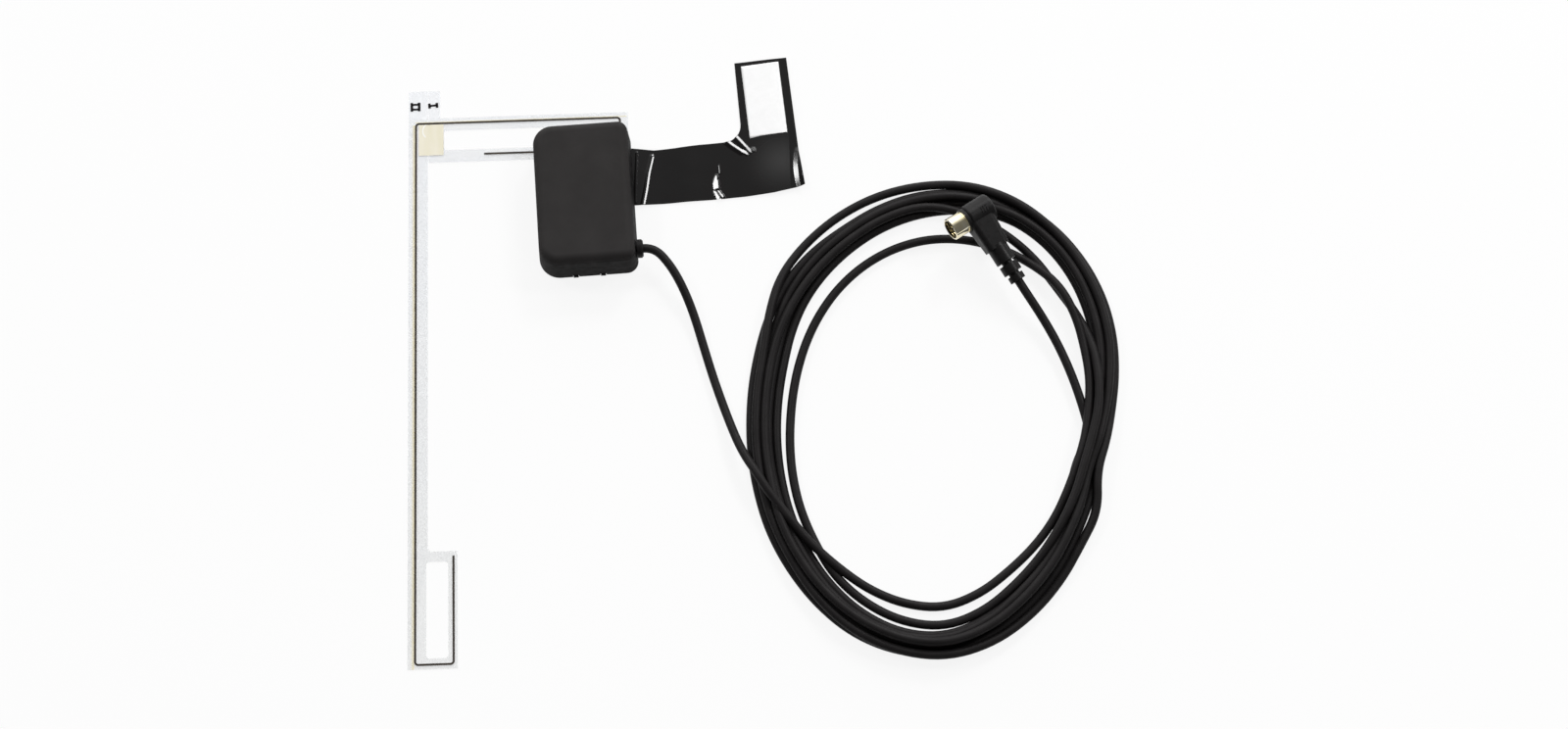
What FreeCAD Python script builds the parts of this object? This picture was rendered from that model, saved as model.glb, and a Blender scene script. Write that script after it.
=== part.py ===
import FreeCAD, Part
import math
import os
import re

import Sketcher
from FreeCAD import Placement, Rotation, Vector

# Windscreen antenna for digital radio: a clear film with two printed elements, an amplifier box
# that sticks to the glass over the film's terminals, a black ground sheet, and a coiled coaxial
# cable with a right-angle plug. Millimetres. The glass is the plane z = 0, the origin is the middle
# of the amplifier's footprint on the glass, +X runs along the film's arms and +Z leaves the glass.
SIZES = (
    # Film antenna
    ("liner_thick", 0.15, "release liner"),
    ("film_thick", 0.15, "clear carrier film"),
    ("film_above", 7.2, "top edge of the film, beyond the housing's upper wall"),
    ("arm_inset", 1.5, "right end of the film, inside the housing's right wall"),
    ("strip_width", 5.7, "long strip, across"),
    ("strip_length", 167.1, "long strip, from the top edge to the bottom edge"),
    ("arm_length", 65.5, "arms, from the left edge to their right end"),
    ("upper_arm", 4.0, "upper arm, across"),
    ("lower_arm", 3.8, "lower arm, across"),
    ("window_height", 6.3, "window between the arms, across"),
    ("window_left", 10.5, "window, from the left edge"),
    ("window_length", 30.0, "window, along the arms"),
    ("window_round", 0.8, "corners of the window"),
    ("loop_width", 14.2, "end loop, across"),
    ("loop_length", 34.1, "end loop, along the strip"),
    ("cutout_left", 5.3, "cut-out of the end loop, from the left edge"),
    ("cutout_low", 3.1, "cut-out of the end loop, from the bottom edge"),
    ("cutout_width", 6.3, "cut-out of the end loop, across"),
    ("cutout_length", 28.0, "cut-out of the end loop, along the strip"),
    ("cutout_round", 1.0, "corners of the cut-out"),
    ("strip_round", 1.4, "inner corner of strip and loop"),
    ("tab_width", 9.35, "peel tab, across both halves"),
    ("tab_height", 8.7, "peel tab, beyond the film's top edge"),
    ("tab_round", 0.5, "corners of the peel tab"),
    ("liner_slit", 0.2, "slit between the two liners"),
    ("tape_width", 7.4, "corner tape, across"),
    ("tape_length", 9.8, "corner tape, along the strip"),
    ("tape_thick", 0.06, "corner tape"),
    ("tape_gap", 0.5, "corner tape, clear of the main element"),
    ("tape_drop", 2.1, "corner tape, below the film's top edge"),
    # Printed elements
    ("trace_thick", 0.1, "printed conductor"),
    ("trace_width", 0.6, "printed conductor, across"),
    ("trace_bend", 0.9, "bends of the conductor, at its middle"),
    ("trace_left", 2.2, "main element, from the left edge"),
    ("trace_top", 1.75, "main element, from the top edge"),
    ("trace_low", 1.3, "main element, from the bottom edge"),
    ("trace_right", 1.1, "main element, from the loop's right edge"),
    ("trace_tip", 1.4, "main element's tip, below the loop's top edge"),
    ("terminal_side", 2.4, "terminal pads"),
    ("terminal_rise", 2.2, "terminals and short element, above the lower arm's edge"),
    ("terminal_inset", 2.4, "main element's terminal, from the film's right end"),
    ("terminal_spacing", 14.6, "short element's terminal, from the main one"),
    ("short_length", 26.0, "short element, from its terminal to its tip"),
    # Amplifier housing
    ("amp_width", 29.0, "amplifier, across"),
    ("amp_length", 44.4, "amplifier, along"),
    ("amp_height", 13.0, "amplifier, from the glass to its top"),
    ("amp_yaw", 2.4, "amplifier's turn on the film, degrees"),
    ("amp_wall", 1.6, "housing wall"),
    ("amp_draft", 3.0, "draft of the housing walls, degrees"),
    ("round_left", 6.2, "housing corners on the film's side"),
    ("round_right", 3.5, "housing corners on the cable's side"),
    ("round_top", 2.5, "housing's top edge"),
    ("pad_thick", 0.8, "adhesive foam pad"),
    ("pad_inset", 2.0, "foam pad, inside the housing's walls"),
    ("pad_clear", 1.5, "foam pad, clear of the film"),
    ("pad_round", 2.0, "corners of the foam pad"),
    ("base_thick", 1.2, "base plate"),
    ("base_gap", 0.15, "base plate, clear of the walls"),
    ("lug_width", 1.5, "snap lugs, along the wall"),
    ("lug_height", 0.9, "snap lugs"),
    ("lug_proud", 0.25, "snap lugs, beyond the wall"),
    ("lug_spacing", 8.0, "snap lugs, from one to the next"),
    # Circuit board and what it carries
    ("board_thick", 1.0, "circuit board"),
    ("board_gap", 0.7, "circuit board, clear of the walls"),
    ("notch_clear", 0.3, "notch in the board, clear of the grommet"),
    ("boss_radius", 1.4, "bosses under the board"),
    ("boss_height", 2.0, "bosses under the board"),
    ("boss_side", 4.3, "bosses, from the housing's long walls"),
    ("boss_low", 8.9, "lower bosses, from the housing's lower wall"),
    ("boss_high", 10.7, "upper bosses, from the housing's upper wall"),
    ("chip_x", -2.0, "amplifier chip, along X in the housing"),
    ("chip_y", 4.0, "amplifier chip, along Y in the housing"),
    ("chip_side", 3.0, "amplifier chip"),
    ("chip_height", 0.9, "amplifier chip"),
    ("coil_side", 6.3, "first chip inductor, from the housing's left wall"),
    ("coil_row", 11.0, "chip inductors, along Y in the housing"),
    ("coil_length", 2.5, "chip inductors"),
    ("coil_width", 1.8, "chip inductors, across"),
    ("coil_height", 1.7, "chip inductors"),
    ("coil_spacing", 4.2, "chip inductors, from one to the next"),
    ("capacitor_side", 6.3, "chip capacitors, from the housing's left wall"),
    ("capacitor_low", -6.0, "first chip capacitor, along Y in the housing"),
    ("capacitor_length", 1.6, "chip capacitors"),
    ("capacitor_width", 0.8, "chip capacitors, across"),
    ("capacitor_spacing", 2.4, "chip capacitors, from one to the next"),
    ("contact_width", 1.4, "spring contacts, across"),
    ("contact_thick", 0.2, "spring contacts, sheet"),
    ("contact_foot", 3.2, "spring contacts, soldered foot"),
    ("contact_heel", 1.0, "spring contacts, foot beyond the point that touches"),
    ("contact_bow", 0.8, "spring contacts, height of the bow under the foot"),
    ("contact_toe", 0.6, "spring contacts, lift of the toe"),
    ("window_clear", 0.5, "windows in the base, clear of the contacts"),
    ("ground_inset", 6.7, "ground contact, from the housing's right wall"),
    # Ground sheet
    ("sheet_thick", 0.15, "ground sheet"),
    ("sheet_width", 17.6, "strip of the ground sheet, across"),
    ("sheet_low", -0.95, "lower edge of the strip, in the housing's axes"),
    ("sheet_reach", 50.0, "strip, from the housing's wall to its end"),
    ("sheet_grip", 9.0, "tongue of the sheet, inside the housing"),
    ("tongue_width", 10.0, "tongue of the sheet, across"),
    ("sheet_turn", 1.2, "turn of the sheet against the housing, degrees"),
    ("sheet_slot", 0.15, "sheet's slot, clear of the sheet"),
    ("flag_width", 15.7, "upright flag of the sheet, across"),
    ("flag_length", 25.0, "upright flag, beyond the strip"),
    ("flag_round", 3.6, "inner corner of strip and flag"),
    ("sheet_bend", 4.6, "run over which the sheet comes down to the glass"),
    ("wave_one", 0.5, "first wave of the sheet, above the glass"),
    ("wave_one_at", 15.0, "first wave, from the housing's wall"),
    ("trough_at", 23.5, "trough between the waves, from the housing's wall"),
    ("wave_two", 0.9, "second wave"),
    ("wave_two_at", 14.0, "second wave, from the sheet's far edge"),
    ("curl_run", 6.0, "run over which the far edge lifts"),
    ("sheet_curl", 2.4, "lift of the sheet's far edge"),
    ("label_width", 11.6, "blank label, across"),
    ("label_length", 23.2, "blank label, along"),
    ("label_thick", 0.08, "blank label"),
    ("label_side", 2.0, "label, from the flag's left edge"),
    ("label_top", 0.9, "label, from the flag's top edge"),
    # Cable and its grommet
    ("cable_od", 2.6, "coaxial cable"),
    ("cable_inside", 6.0, "cable, inside the housing's wall"),
    ("exit_run", 3.3, "straight start of the lead at the grommet, and of the tail at the plug"),
    ("core_od", 1.5, "cable's insulated core"),
    ("core_length", 1.6, "insulated core, bare of its jacket"),
    ("wire_od", 0.5, "cable's inner wire"),
    ("wire_length", 1.8, "inner wire, bare of its insulation"),
    ("cable_side", 5.4, "cable, from the housing's lower wall"),
    ("grommet_neck", 2.1, "grommet's neck, radius"),
    ("grommet_flange", 2.75, "grommet's outer flange, radius"),
    ("flange_thick", 1.8, "grommet's outer flange"),
    ("grommet_lip", 2.6, "grommet's inner lip, radius"),
    ("lip_thick", 0.9, "grommet's inner lip"),
    ("wall_clear", 0.1, "grommet's flange and lip, clear of the wall"),
    # Coil of cable, radii from its middle every 45 degrees from +X towards +Y
    ("coil_x", 100.0, "middle of the coil"),
    ("coil_y", -68.5, "middle of the coil"),
    ("outer_0", 52.6, "outside of the coil"),
    ("outer_45", 65.0, "outside of the coil"),
    ("outer_90", 71.5, "outside of the coil"),
    ("outer_135", 61.8, "outside of the coil"),
    ("outer_180", 54.5, "outside of the coil"),
    ("outer_225", 61.7, "outside of the coil"),
    ("outer_270", 71.4, "outside of the coil"),
    ("outer_315", 57.0, "outside of the coil"),
    ("inner_0", 42.2, "inside of the coil"),
    ("inner_45", 51.2, "inside of the coil"),
    ("inner_90", 52.2, "inside of the coil"),
    ("inner_135", 44.1, "inside of the coil"),
    ("inner_180", 40.5, "inside of the coil"),
    ("inner_225", 49.2, "inside of the coil"),
    ("inner_270", 54.8, "inside of the coil"),
    ("inner_315", 44.6, "inside of the coil"),
    ("coil_deep", 6.2, "height of the coiled turns"),
    ("coil_edge", 1.6, "sloped upper edges of the coil"),
    # Right-angle plug
    ("plug_x", 114.5, "crossing of the plug's two axes"),
    ("plug_y", -10.75, "crossing of the plug's two axes"),
    ("plug_z", 11.4, "crossing of the plug's two axes"),
    ("plug_yaw", 211.0, "direction of the plug's barrel, degrees"),
    ("plug_lift", 5.5, "barrel's mouth, tipped up, degrees"),
    ("plug_dip", 11.0, "cable's end of the plug, tipped down, degrees"),
    ("head_radius", 4.1, "plug's moulded head"),
    ("head_length", 8.4, "moulded head, along the barrel"),
    ("head_front", 3.4, "moulded head, from the cable's axis to the barrel's root"),
    ("head_round", 0.8, "edges of the moulded head"),
    ("neck_width", 8.4, "moulding beside the head, along the barrel"),
    ("neck_deep", 7.4, "moulding beside the head, across"),
    ("waist_width", 7.2, "moulding at the strain relief, along the barrel"),
    ("waist_deep", 5.6, "moulding at the strain relief, across"),
    ("waist_at", 11.6, "start of the strain relief, from the barrel's axis"),
    ("moulding_round", 1.6, "edges of the moulding"),
    ("collar_radius", 3.75, "collar round the barrel's root"),
    ("collar_length", 0.9, "collar round the barrel's root"),
    ("ridge_width", 0.35, "grip ridges on the head, along the barrel"),
    ("ridge_length", 1.8, "grip ridges, across"),
    ("ridge_height", 0.15, "grip ridges"),
    ("ridge_spacing", 0.85, "grip ridges, from one to the next"),
    ("ridge_at", 1.7, "middle grip ridge, behind the barrel's crossing"),
    ("relief_core", 1.65, "strain relief between its ribs, radius"),
    ("rib_one_radius", 3.05, "first rib of the strain relief"),
    ("rib_one", 4.8, "first rib, along the cable"),
    ("rib_two_radius", 2.85, "second rib"),
    ("rib_two", 2.9, "second rib, along the cable"),
    ("rib_three_radius", 2.4, "third rib"),
    ("rib_three", 1.9, "third rib, along the cable"),
    ("rib_gap", 0.85, "gaps between the ribs"),
    ("plug_bore", 5.0, "cable's seat in the strain relief"),
    ("shell_radius", 3.35, "barrel"),
    ("shell_wall", 0.5, "barrel's wall"),
    ("shell_reach", 5.8, "barrel, beyond the moulding"),
    ("shell_root", 2.6, "barrel, inside the moulding"),
    ("groove_deep", 0.2, "ring groove round the barrel"),
    ("groove_at", 1.3, "ring groove, from the moulding"),
    ("groove_width", 0.5, "ring groove"),
    ("finger_radius", 2.35, "slotted sleeve, outside"),
    ("finger_wall", 0.4, "slotted sleeve"),
    ("finger_reach", 4.7, "slotted sleeve, beyond the moulding"),
    ("finger_slot", 0.45, "slots of the sleeve"),
    ("insulator_length", 1.8, "insulator at the barrel's root"),
    ("contact_radius", 0.65, "centre contact"),
    ("contact_bore", 0.35, "centre contact's socket, radius"),
    ("contact_reach", 3.9, "centre contact, beyond the moulding"),
    ("socket_deep", 2.6, "centre contact's socket"),
)

PATTERN = re.compile("[a-z_]+[a-z0-9_]*")
NAMES = {row[0] for row in SIZES}
# The lead's route after the grommet, and the tail's route after the plug's strain relief
LEAD_ROUTE = (
    (23.6, -17.6, 6.2),
    (26.3, -21.4, 5.5),
    (28.6, -27.4, 4.0),
    (31.2, -35.7, 2.4),
    (33.9, -46.2, 1.5),
    (36.6, -56.1, 1.4),
    (40.5, -68.6, 1.5),
    (43.6, -77.4, 1.9),
    (47.6, -84.4, 2.4),
)
TAIL_ROUTE = (
    (131.9, -38.9, 4.6),
    (134.6, -43.6, 3.6),
    (137.8, -50.8, 2.7),
    (140.9, -59.9, 2.2),
    (143.6, -70.6, 2.5),
)

doc = FreeCAD.newDocument("windscreen_antenna")
sizes = doc.addObject("Spreadsheet::Sheet", "Sizes")
for row, (alias, number, note) in enumerate(SIZES, start=1):
    sizes.set(f"A{row}", alias)
    sizes.set(f"B{row}", str(number))
    sizes.set(f"C{row}", note)
    sizes.setAlias(f"B{row}", alias)
doc.recompute()

parts = []


def size(name):
    return float(sizes.get(name))


def cells(text):
    """The same sum with each size's name pointing at its cell."""
    return PATTERN.sub(lambda word: f"Sizes.{word[0]}" if word[0] in NAMES else word[0], str(text))


def value(text):
    return float(sizes.evalExpression(cells(text)))


def keep(part, label, place=None):
    """Takes a finished sub-part into the list, with its name and place."""
    part.Label = label
    if place is not None:
        part.Placement = place
    parts.append(part)
    return part


def new_body(name):
    return doc.addObject("PartDesign::Body", f"{name}_body")


def new_sketch(body, plane, level="0"):
    sketch = body.newObject("Sketcher::SketchObject", "sketch")
    origin = {feature.Role: feature for feature in body.Origin.OriginFeatures}
    sketch.AttachmentSupport = [(origin[plane], "")]
    sketch.MapMode = "FlatFace"
    sketch.setExpression("AttachmentOffset.Base.z", cells(level))
    return sketch


def pin_point(sketch, edge, end, across, upward):
    """Holds one end of a line at a place given by two sums."""
    for kind, text in (("DistanceX", across), ("DistanceY", upward)):
        rule = sketch.addConstraint(Sketcher.Constraint(kind, -1, 1, edge, end, value(text)))
        sketch.setExpression(f"Constraints[{rule}]", cells(text))


def corner_ends(corner, before, after):
    """Where the run before a corner stops and the run after it starts, as sums."""
    across, upward, radius = corner
    stop = (f"{across} - ({before.x:.0f}) * ({radius})", f"{upward} - ({before.y:.0f}) * ({radius})")
    start = (f"{across} + ({after.x:.0f}) * ({radius})", f"{upward} + ({after.y:.0f}) * ({radius})")
    return stop, start


def add_arc(sketch, line_in, line_out, corner, before, after):
    """Rounds the square corner between two lines."""
    radius = value(corner[2])
    middle = Vector(value(corner[0]), value(corner[1]), 0) + (after - before) * radius
    turn_left = before.cross(after).z > 0
    begin = math.atan2(-after.y, -after.x) if turn_left else math.atan2(before.y, before.x)
    arc = Part.ArcOfCircle(Part.Circle(middle, Vector(0, 0, 1), radius), begin, begin + math.pi / 2)
    edge = sketch.addGeometry(arc)
    first, last = (1, 2) if turn_left else (2, 1)
    sketch.addConstraint(Sketcher.Constraint("Coincident", line_in, 2, edge, first))
    sketch.addConstraint(Sketcher.Constraint("Coincident", line_out, 1, edge, last))
    rule = sketch.addConstraint(Sketcher.Constraint("Radius", edge, radius))
    sketch.setExpression(f"Constraints[{rule}]", cells(corner[2]))


def add_outline(sketch, corners):
    """A closed outline of square turns. A corner is (x, y) or (x, y, radius), each as a sum."""
    spots = [Vector(value(corner[0]), value(corner[1]), 0) for corner in corners]
    count = len(corners)
    runs = [(spots[(i + 1) % count] - spots[i]).normalize() for i in range(count)]
    ends = []
    for i, corner in enumerate(corners):
        if len(corner) == 3:
            ends.append(corner_ends(corner, runs[i - 1], runs[i]))
        else:
            ends.append((None, corner))
    first = sketch.GeometryCount
    for i in range(count):
        start = ends[i][1]
        stop = ends[(i + 1) % count][0] or ends[(i + 1) % count][1]
        points = [Vector(value(spot[0]), value(spot[1]), 0) for spot in (start, stop)]
        sketch.addGeometry(Part.LineSegment(*points))
        pin_point(sketch, first + i, 1, *start)
    for i in range(count):
        line_in = first + (i - 1) % count
        if ends[i][0]:
            pin_point(sketch, line_in, 2, *ends[i][0])
            add_arc(sketch, line_in, first + i, corners[i], runs[i - 1], runs[i])
        else:
            sketch.addConstraint(Sketcher.Constraint("Coincident", line_in, 2, first + i, 1))


def box_corners(left, low, right, high, radius=None):
    corners = ((left, low), (right, low), (right, high), (left, high))
    return [corner + (radius,) if radius else corner for corner in corners]


def add_polygon(sketch, corners):
    """A closed outline of straight runs in any direction, each corner two sums."""
    first = sketch.GeometryCount
    count = len(corners)
    spots = [Vector(value(x), value(y), 0) for x, y in corners]
    for i in range(count):
        sketch.addGeometry(Part.LineSegment(spots[i], spots[(i + 1) % count]))
        pin_point(sketch, first + i, 1, *corners[i])
    for i in range(count):
        sketch.addConstraint(Sketcher.Constraint("Coincident", first + i, 2, first + (i + 1) % count, 1))


def add_circle(sketch, across, upward, radius):
    spot = Vector(value(across), value(upward), 0)
    edge = sketch.addGeometry(Part.Circle(spot, Vector(0, 0, 1), value(radius)))
    pin_point(sketch, edge, 3, across, upward)
    rule = sketch.addConstraint(Sketcher.Constraint("Radius", edge, value(radius)))
    sketch.setExpression(f"Constraints[{rule}]", cells(radius))


def pad(body, sketch, length, taper=None):
    feature = body.newObject("PartDesign::Pad", "pad")
    feature.Profile = sketch
    feature.setExpression("Length", cells(length))
    if taper:
        feature.setExpression("TaperAngle", cells(taper))
    return finish(feature)


def pocket(body, sketch, length=None, forward=True, taper=None, both_ways=False):
    """Cuts along the sketch's normal, or right through where no length is given."""
    before = body.Shape.Volume
    feature = body.newObject("PartDesign::Pocket", "pocket")
    feature.Profile = sketch
    feature.Reversed = forward
    if both_ways:
        feature.Midplane = True
    if length:
        feature.setExpression("Length", cells(length))
    else:
        feature.Type = "ThroughAll"
    if taper:
        feature.setExpression("TaperAngle", cells(taper))
    finish(feature)
    if not body.Shape.Volume < before:
        raise ValueError(f"a pocket of {body.Name} cuts nothing")
    return feature


def revolve(body, sketch, axis):
    feature = body.newObject("PartDesign::Revolution", "revolution")
    feature.Profile = sketch
    origin = {item.Role: item for item in body.Origin.OriginFeatures}
    feature.ReferenceAxis = (origin[axis], [""])
    feature.Angle = 360
    return finish(feature)


def fillet(body, base, edges, radius):
    feature = body.newObject("PartDesign::Fillet", "fillet")
    feature.Base = (base, edges)
    feature.setExpression("Radius", cells(radius))
    return finish(feature)


def finish(feature):
    doc.recompute()
    if "Invalid" in feature.State or "Error" in feature.State or feature.Shape.isNull():
        raise ValueError(f"{feature.Name} of {feature.getParentGeoFeatureGroup().Name} failed")
    return feature


def edges_where(feature, test):
    return [f"Edge{i}" for i, edge in enumerate(feature.Shape.Edges, start=1) if test(edge)]


def solid_feature(label, shape, place=None):
    part = doc.addObject("Part::Feature", f"{label}_solid")
    part.Shape = shape
    return keep(part, label, place)


# Levels above the glass
FILM_TOP = "liner_thick + film_thick"
BASE_TOP = "pad_thick + base_thick"
BOARD_LOW = f"{BASE_TOP} + boss_height"
BOARD_TOP = f"{BOARD_LOW} + board_thick"
CABLE_LEVEL = f"{BOARD_TOP} + cable_od / 2"

# Along the cable's axis through the housing's wall
WALL_AT_CABLE = f"amp_width / 2 - ({CABLE_LEVEL} - pad_thick) * tan(amp_draft * 1deg)"
CABLE_SIDE = "cable_side - amp_length / 2"
LEAN = "grommet_flange * tan(amp_draft * 1deg) + wall_clear"
FLANGE_IN = f"{WALL_AT_CABLE} + {LEAN}"
FLANGE_OUT = f"{FLANGE_IN} + flange_thick"
LIP_OUT = f"{WALL_AT_CABLE} - amp_wall - ({LEAN})"
LIP_IN = f"{LIP_OUT} - lip_thick"

amp_place = Placement(Vector(), Rotation(Vector(0, 0, 1), size("amp_yaw")))


# Film antenna, tied to the housing that sits on its terminals
FILM_LEFT = "(amp_width / 2 - arm_inset - arm_length)"
FILM_HIGH = "(amp_length / 2 + film_above)"
FILM_LOW = f"{FILM_HIGH} - strip_length"
FRAME_LOW = f"{FILM_HIGH} - upper_arm - window_height - lower_arm"
LOOP_RIGHT = f"{FILM_LEFT} + loop_width"
LOOP_HIGH = f"{FILM_LOW} + loop_length"
STRIP_RIGHT = f"{FILM_LEFT} + strip_width"
ARM_RIGHT = f"{FILM_LEFT} + arm_length"
TAB_RIGHT = f"{FILM_LEFT} + tab_width"
TAB_HIGH = f"{FILM_HIGH} + tab_height"
TERMINAL_LEVEL = f"{FRAME_LOW} + terminal_rise"
MAIN_TERMINAL = f"{ARM_RIGHT} - terminal_inset"
SHORT_TERMINAL = f"{MAIN_TERMINAL} - terminal_spacing"


def add_window(sketch):
    left = f"{FILM_LEFT} + window_left"
    low = f"{FILM_HIGH} - upper_arm - window_height"
    right = f"{left} + window_length"
    add_outline(sketch, box_corners(left, low, right, f"{FILM_HIGH} - upper_arm", "window_round"))


def add_cutout(sketch):
    left = f"{FILM_LEFT} + cutout_left"
    low = f"{FILM_LOW} + cutout_low"
    add_outline(
        sketch,
        box_corners(left, low, f"{left} + cutout_width", f"{low} + cutout_length", "cutout_round"),
    )


def make_carrier_film():
    body = new_body("carrier_film")
    sketch = new_sketch(body, "XY_Plane", "liner_thick")
    add_outline(
        sketch,
        (
            (FILM_LEFT, FILM_LOW),
            (LOOP_RIGHT, FILM_LOW),
            (LOOP_RIGHT, LOOP_HIGH),
            (STRIP_RIGHT, LOOP_HIGH, "strip_round"),
            (STRIP_RIGHT, FRAME_LOW),
            (ARM_RIGHT, FRAME_LOW),
            (ARM_RIGHT, FILM_HIGH),
            (FILM_LEFT, FILM_HIGH),
        ),
    )
    add_window(sketch)
    add_cutout(sketch)
    pad(body, sketch, "film_thick")
    keep(body, "carrier_film")


def make_liner_one():
    """Liner under the arms, with the right half of the peel tab."""
    body = new_body("liner_one")
    sketch = new_sketch(body, "XY_Plane")
    slit_right = f"{STRIP_RIGHT} + liner_slit"
    add_outline(
        sketch,
        (
            (slit_right, FRAME_LOW),
            (ARM_RIGHT, FRAME_LOW),
            (ARM_RIGHT, FILM_HIGH),
            (TAB_RIGHT, FILM_HIGH),
            (TAB_RIGHT, TAB_HIGH, "tab_round"),
            (slit_right, TAB_HIGH),
        ),
    )
    add_window(sketch)
    pad(body, sketch, "liner_thick")
    keep(body, "liner_one")


def make_liner_two():
    """Liner under the long strip and the end loop, with the left half of the peel tab."""
    body = new_body("liner_two")
    sketch = new_sketch(body, "XY_Plane")
    add_outline(
        sketch,
        (
            (FILM_LEFT, FILM_LOW),
            (LOOP_RIGHT, FILM_LOW),
            (LOOP_RIGHT, LOOP_HIGH),
            (STRIP_RIGHT, LOOP_HIGH, "strip_round"),
            (STRIP_RIGHT, TAB_HIGH),
            (FILM_LEFT, TAB_HIGH, "tab_round"),
        ),
    )
    add_cutout(sketch)
    pad(body, sketch, "liner_thick")
    keep(body, "liner_two")


def make_corner_tape():
    body = new_body("corner_tape")
    sketch = new_sketch(body, "XY_Plane", FILM_TOP)
    left = f"{FILM_LEFT} + trace_left + trace_width / 2 + tape_gap"
    high = f"{FILM_HIGH} - tape_drop"
    add_outline(sketch, box_corners(left, f"{high} - tape_length", f"{left} + tape_width", high))
    pad(body, sketch, "tape_thick")
    keep(body, "corner_tape")


def trace_corners(path):
    """The outline of a conductor of even width along a path of square turns."""
    spots = [Vector(value(x), value(y), 0) for x, y in path]
    runs = [(b - a).normalize() for a, b in zip(spots, spots[1:])]
    sides = []
    for side in (1, -1):
        line = []
        for i, (x, y) in enumerate(path):
            before = runs[max(i - 1, 0)]
            after = runs[min(i, len(runs) - 1)]
            normal = Vector(-before.y, before.x, 0)
            if before.cross(after).Length > 0.5:
                normal = normal + Vector(-after.y, after.x, 0)
            bend = before.cross(after).z * side
            corner = (
                f"{x} + ({side * normal.x:.0f}) * trace_width / 2",
                f"{y} + ({side * normal.y:.0f}) * trace_width / 2",
            )
            if bend:
                corner += (f"trace_bend + ({-bend:.0f}) * trace_width / 2",)
            line.append(corner)
        sides.append(line)
    return sides[0][::-1] + sides[1]


def make_element(label, path):
    """A printed conductor with the terminal pad that the amplifier's spring rests on."""
    body = new_body(label)
    sketch = new_sketch(body, "XY_Plane", FILM_TOP)
    add_outline(sketch, trace_corners(path))
    pad(body, sketch, "trace_thick")
    x, y = path[0]
    half = "terminal_side / 2"
    sketch = new_sketch(body, "XY_Plane", FILM_TOP)
    add_outline(sketch, box_corners(f"{x} - {half}", f"{y} - {half}", f"{x} + {half}", f"{y} + {half}"))
    pad(body, sketch, "trace_thick")
    keep(body, label)


def make_elements():
    left = f"{FILM_LEFT} + trace_left"
    high = f"{FILM_HIGH} - trace_top"
    low = f"{FILM_LOW} + trace_low"
    right = f"{LOOP_RIGHT} - trace_right"
    make_element(
        "main_element",
        (
            (MAIN_TERMINAL, TERMINAL_LEVEL),
            (MAIN_TERMINAL, high),
            (left, high),
            (left, low),
            (right, low),
            (right, f"{LOOP_HIGH} - trace_tip"),
        ),
    )
    tip = f"{SHORT_TERMINAL} - short_length"
    make_element("short_element", ((SHORT_TERMINAL, TERMINAL_LEVEL), (tip, TERMINAL_LEVEL)))


# Amplifier housing, in its own axes
def housing_corners(inset):
    half_width = f"amp_width / 2 - ({inset})"
    half_length = f"amp_length / 2 - ({inset})"
    left, right = f"-({half_width})", half_width
    low, high = f"-({half_length})", half_length
    big, small = f"round_left - ({inset})", f"round_right - ({inset})"
    return ((left, low, big), (right, low, small), (right, high, small), (left, high, big))


def add_lugs(sketch, clearance, inner, outer):
    """The snap lugs, or their notches, on the two short walls."""
    for place in (-1, 1):
        middle = f"({place}) * lug_spacing / 2"
        half = f"lug_width / 2 + ({clearance})"
        for wall in (-1, 1):
            near = f"({wall}) * ({inner})"
            far = f"({wall}) * ({outer})"
            low, high = (far, near) if wall < 0 else (near, far)
            add_outline(sketch, box_corners(f"{middle} - ({half})", low, f"{middle} + {half}", high))


def make_cover():
    body = new_body("amp_cover")
    sketch = new_sketch(body, "XY_Plane", "pad_thick")
    add_outline(sketch, housing_corners("0"))
    shell = pad(body, sketch, "amp_height - pad_thick", "-amp_draft")
    top = value("amp_height")
    rim = edges_where(shell, lambda edge: abs(edge.BoundBox.ZMin - top) < 1e-4)
    fillet(body, shell, rim, "round_top")
    sketch = new_sketch(body, "XY_Plane", "pad_thick")
    add_outline(sketch, housing_corners("amp_wall"))
    pocket(body, sketch, "amp_height - pad_thick - amp_wall", taper="-amp_draft")
    sketch = new_sketch(body, "YZ_Plane")
    add_circle(sketch, CABLE_SIDE, CABLE_LEVEL, "grommet_neck")
    pocket(body, sketch)
    sketch = new_sketch(body, "XY_Plane", "pad_thick")
    wall_in = "amp_width / 2 - 2 * amp_wall"
    wall_out = "amp_width / 2 + amp_wall"
    low = "sheet_low - 4 * sheet_slot"
    high = "sheet_low + sheet_width + 4 * sheet_slot"
    add_outline(sketch, box_corners(wall_in, low, wall_out, high))
    pocket(body, sketch, "sheet_thick + sheet_slot")
    sketch = new_sketch(body, "XY_Plane", "pad_thick")
    add_lugs(sketch, "base_gap", "amp_length / 2 - 2 * amp_wall", "amp_length / 2 + amp_wall")
    pocket(body, sketch, "lug_height + base_gap")
    keep(body, "amp_cover", amp_place)


def contact_spots():
    """The spring contacts: name, place in the housing's axes as sums, and the level that each rests on."""
    film_level = f"{FILM_TOP} + trace_thick"
    back = amp_place.inverse()
    spots = []
    for label, across in (("main_contact", MAIN_TERMINAL), ("short_contact", SHORT_TERMINAL)):
        spot = back.multVec(Vector(value(across), value(TERMINAL_LEVEL), 0))
        spots.append((label, spot.x, spot.y, film_level))
    middle = "sheet_low + sheet_width / 2"
    spots.append(("ground_contact", "amp_width / 2 - ground_inset", middle, "pad_thick + sheet_thick"))
    return spots


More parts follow.
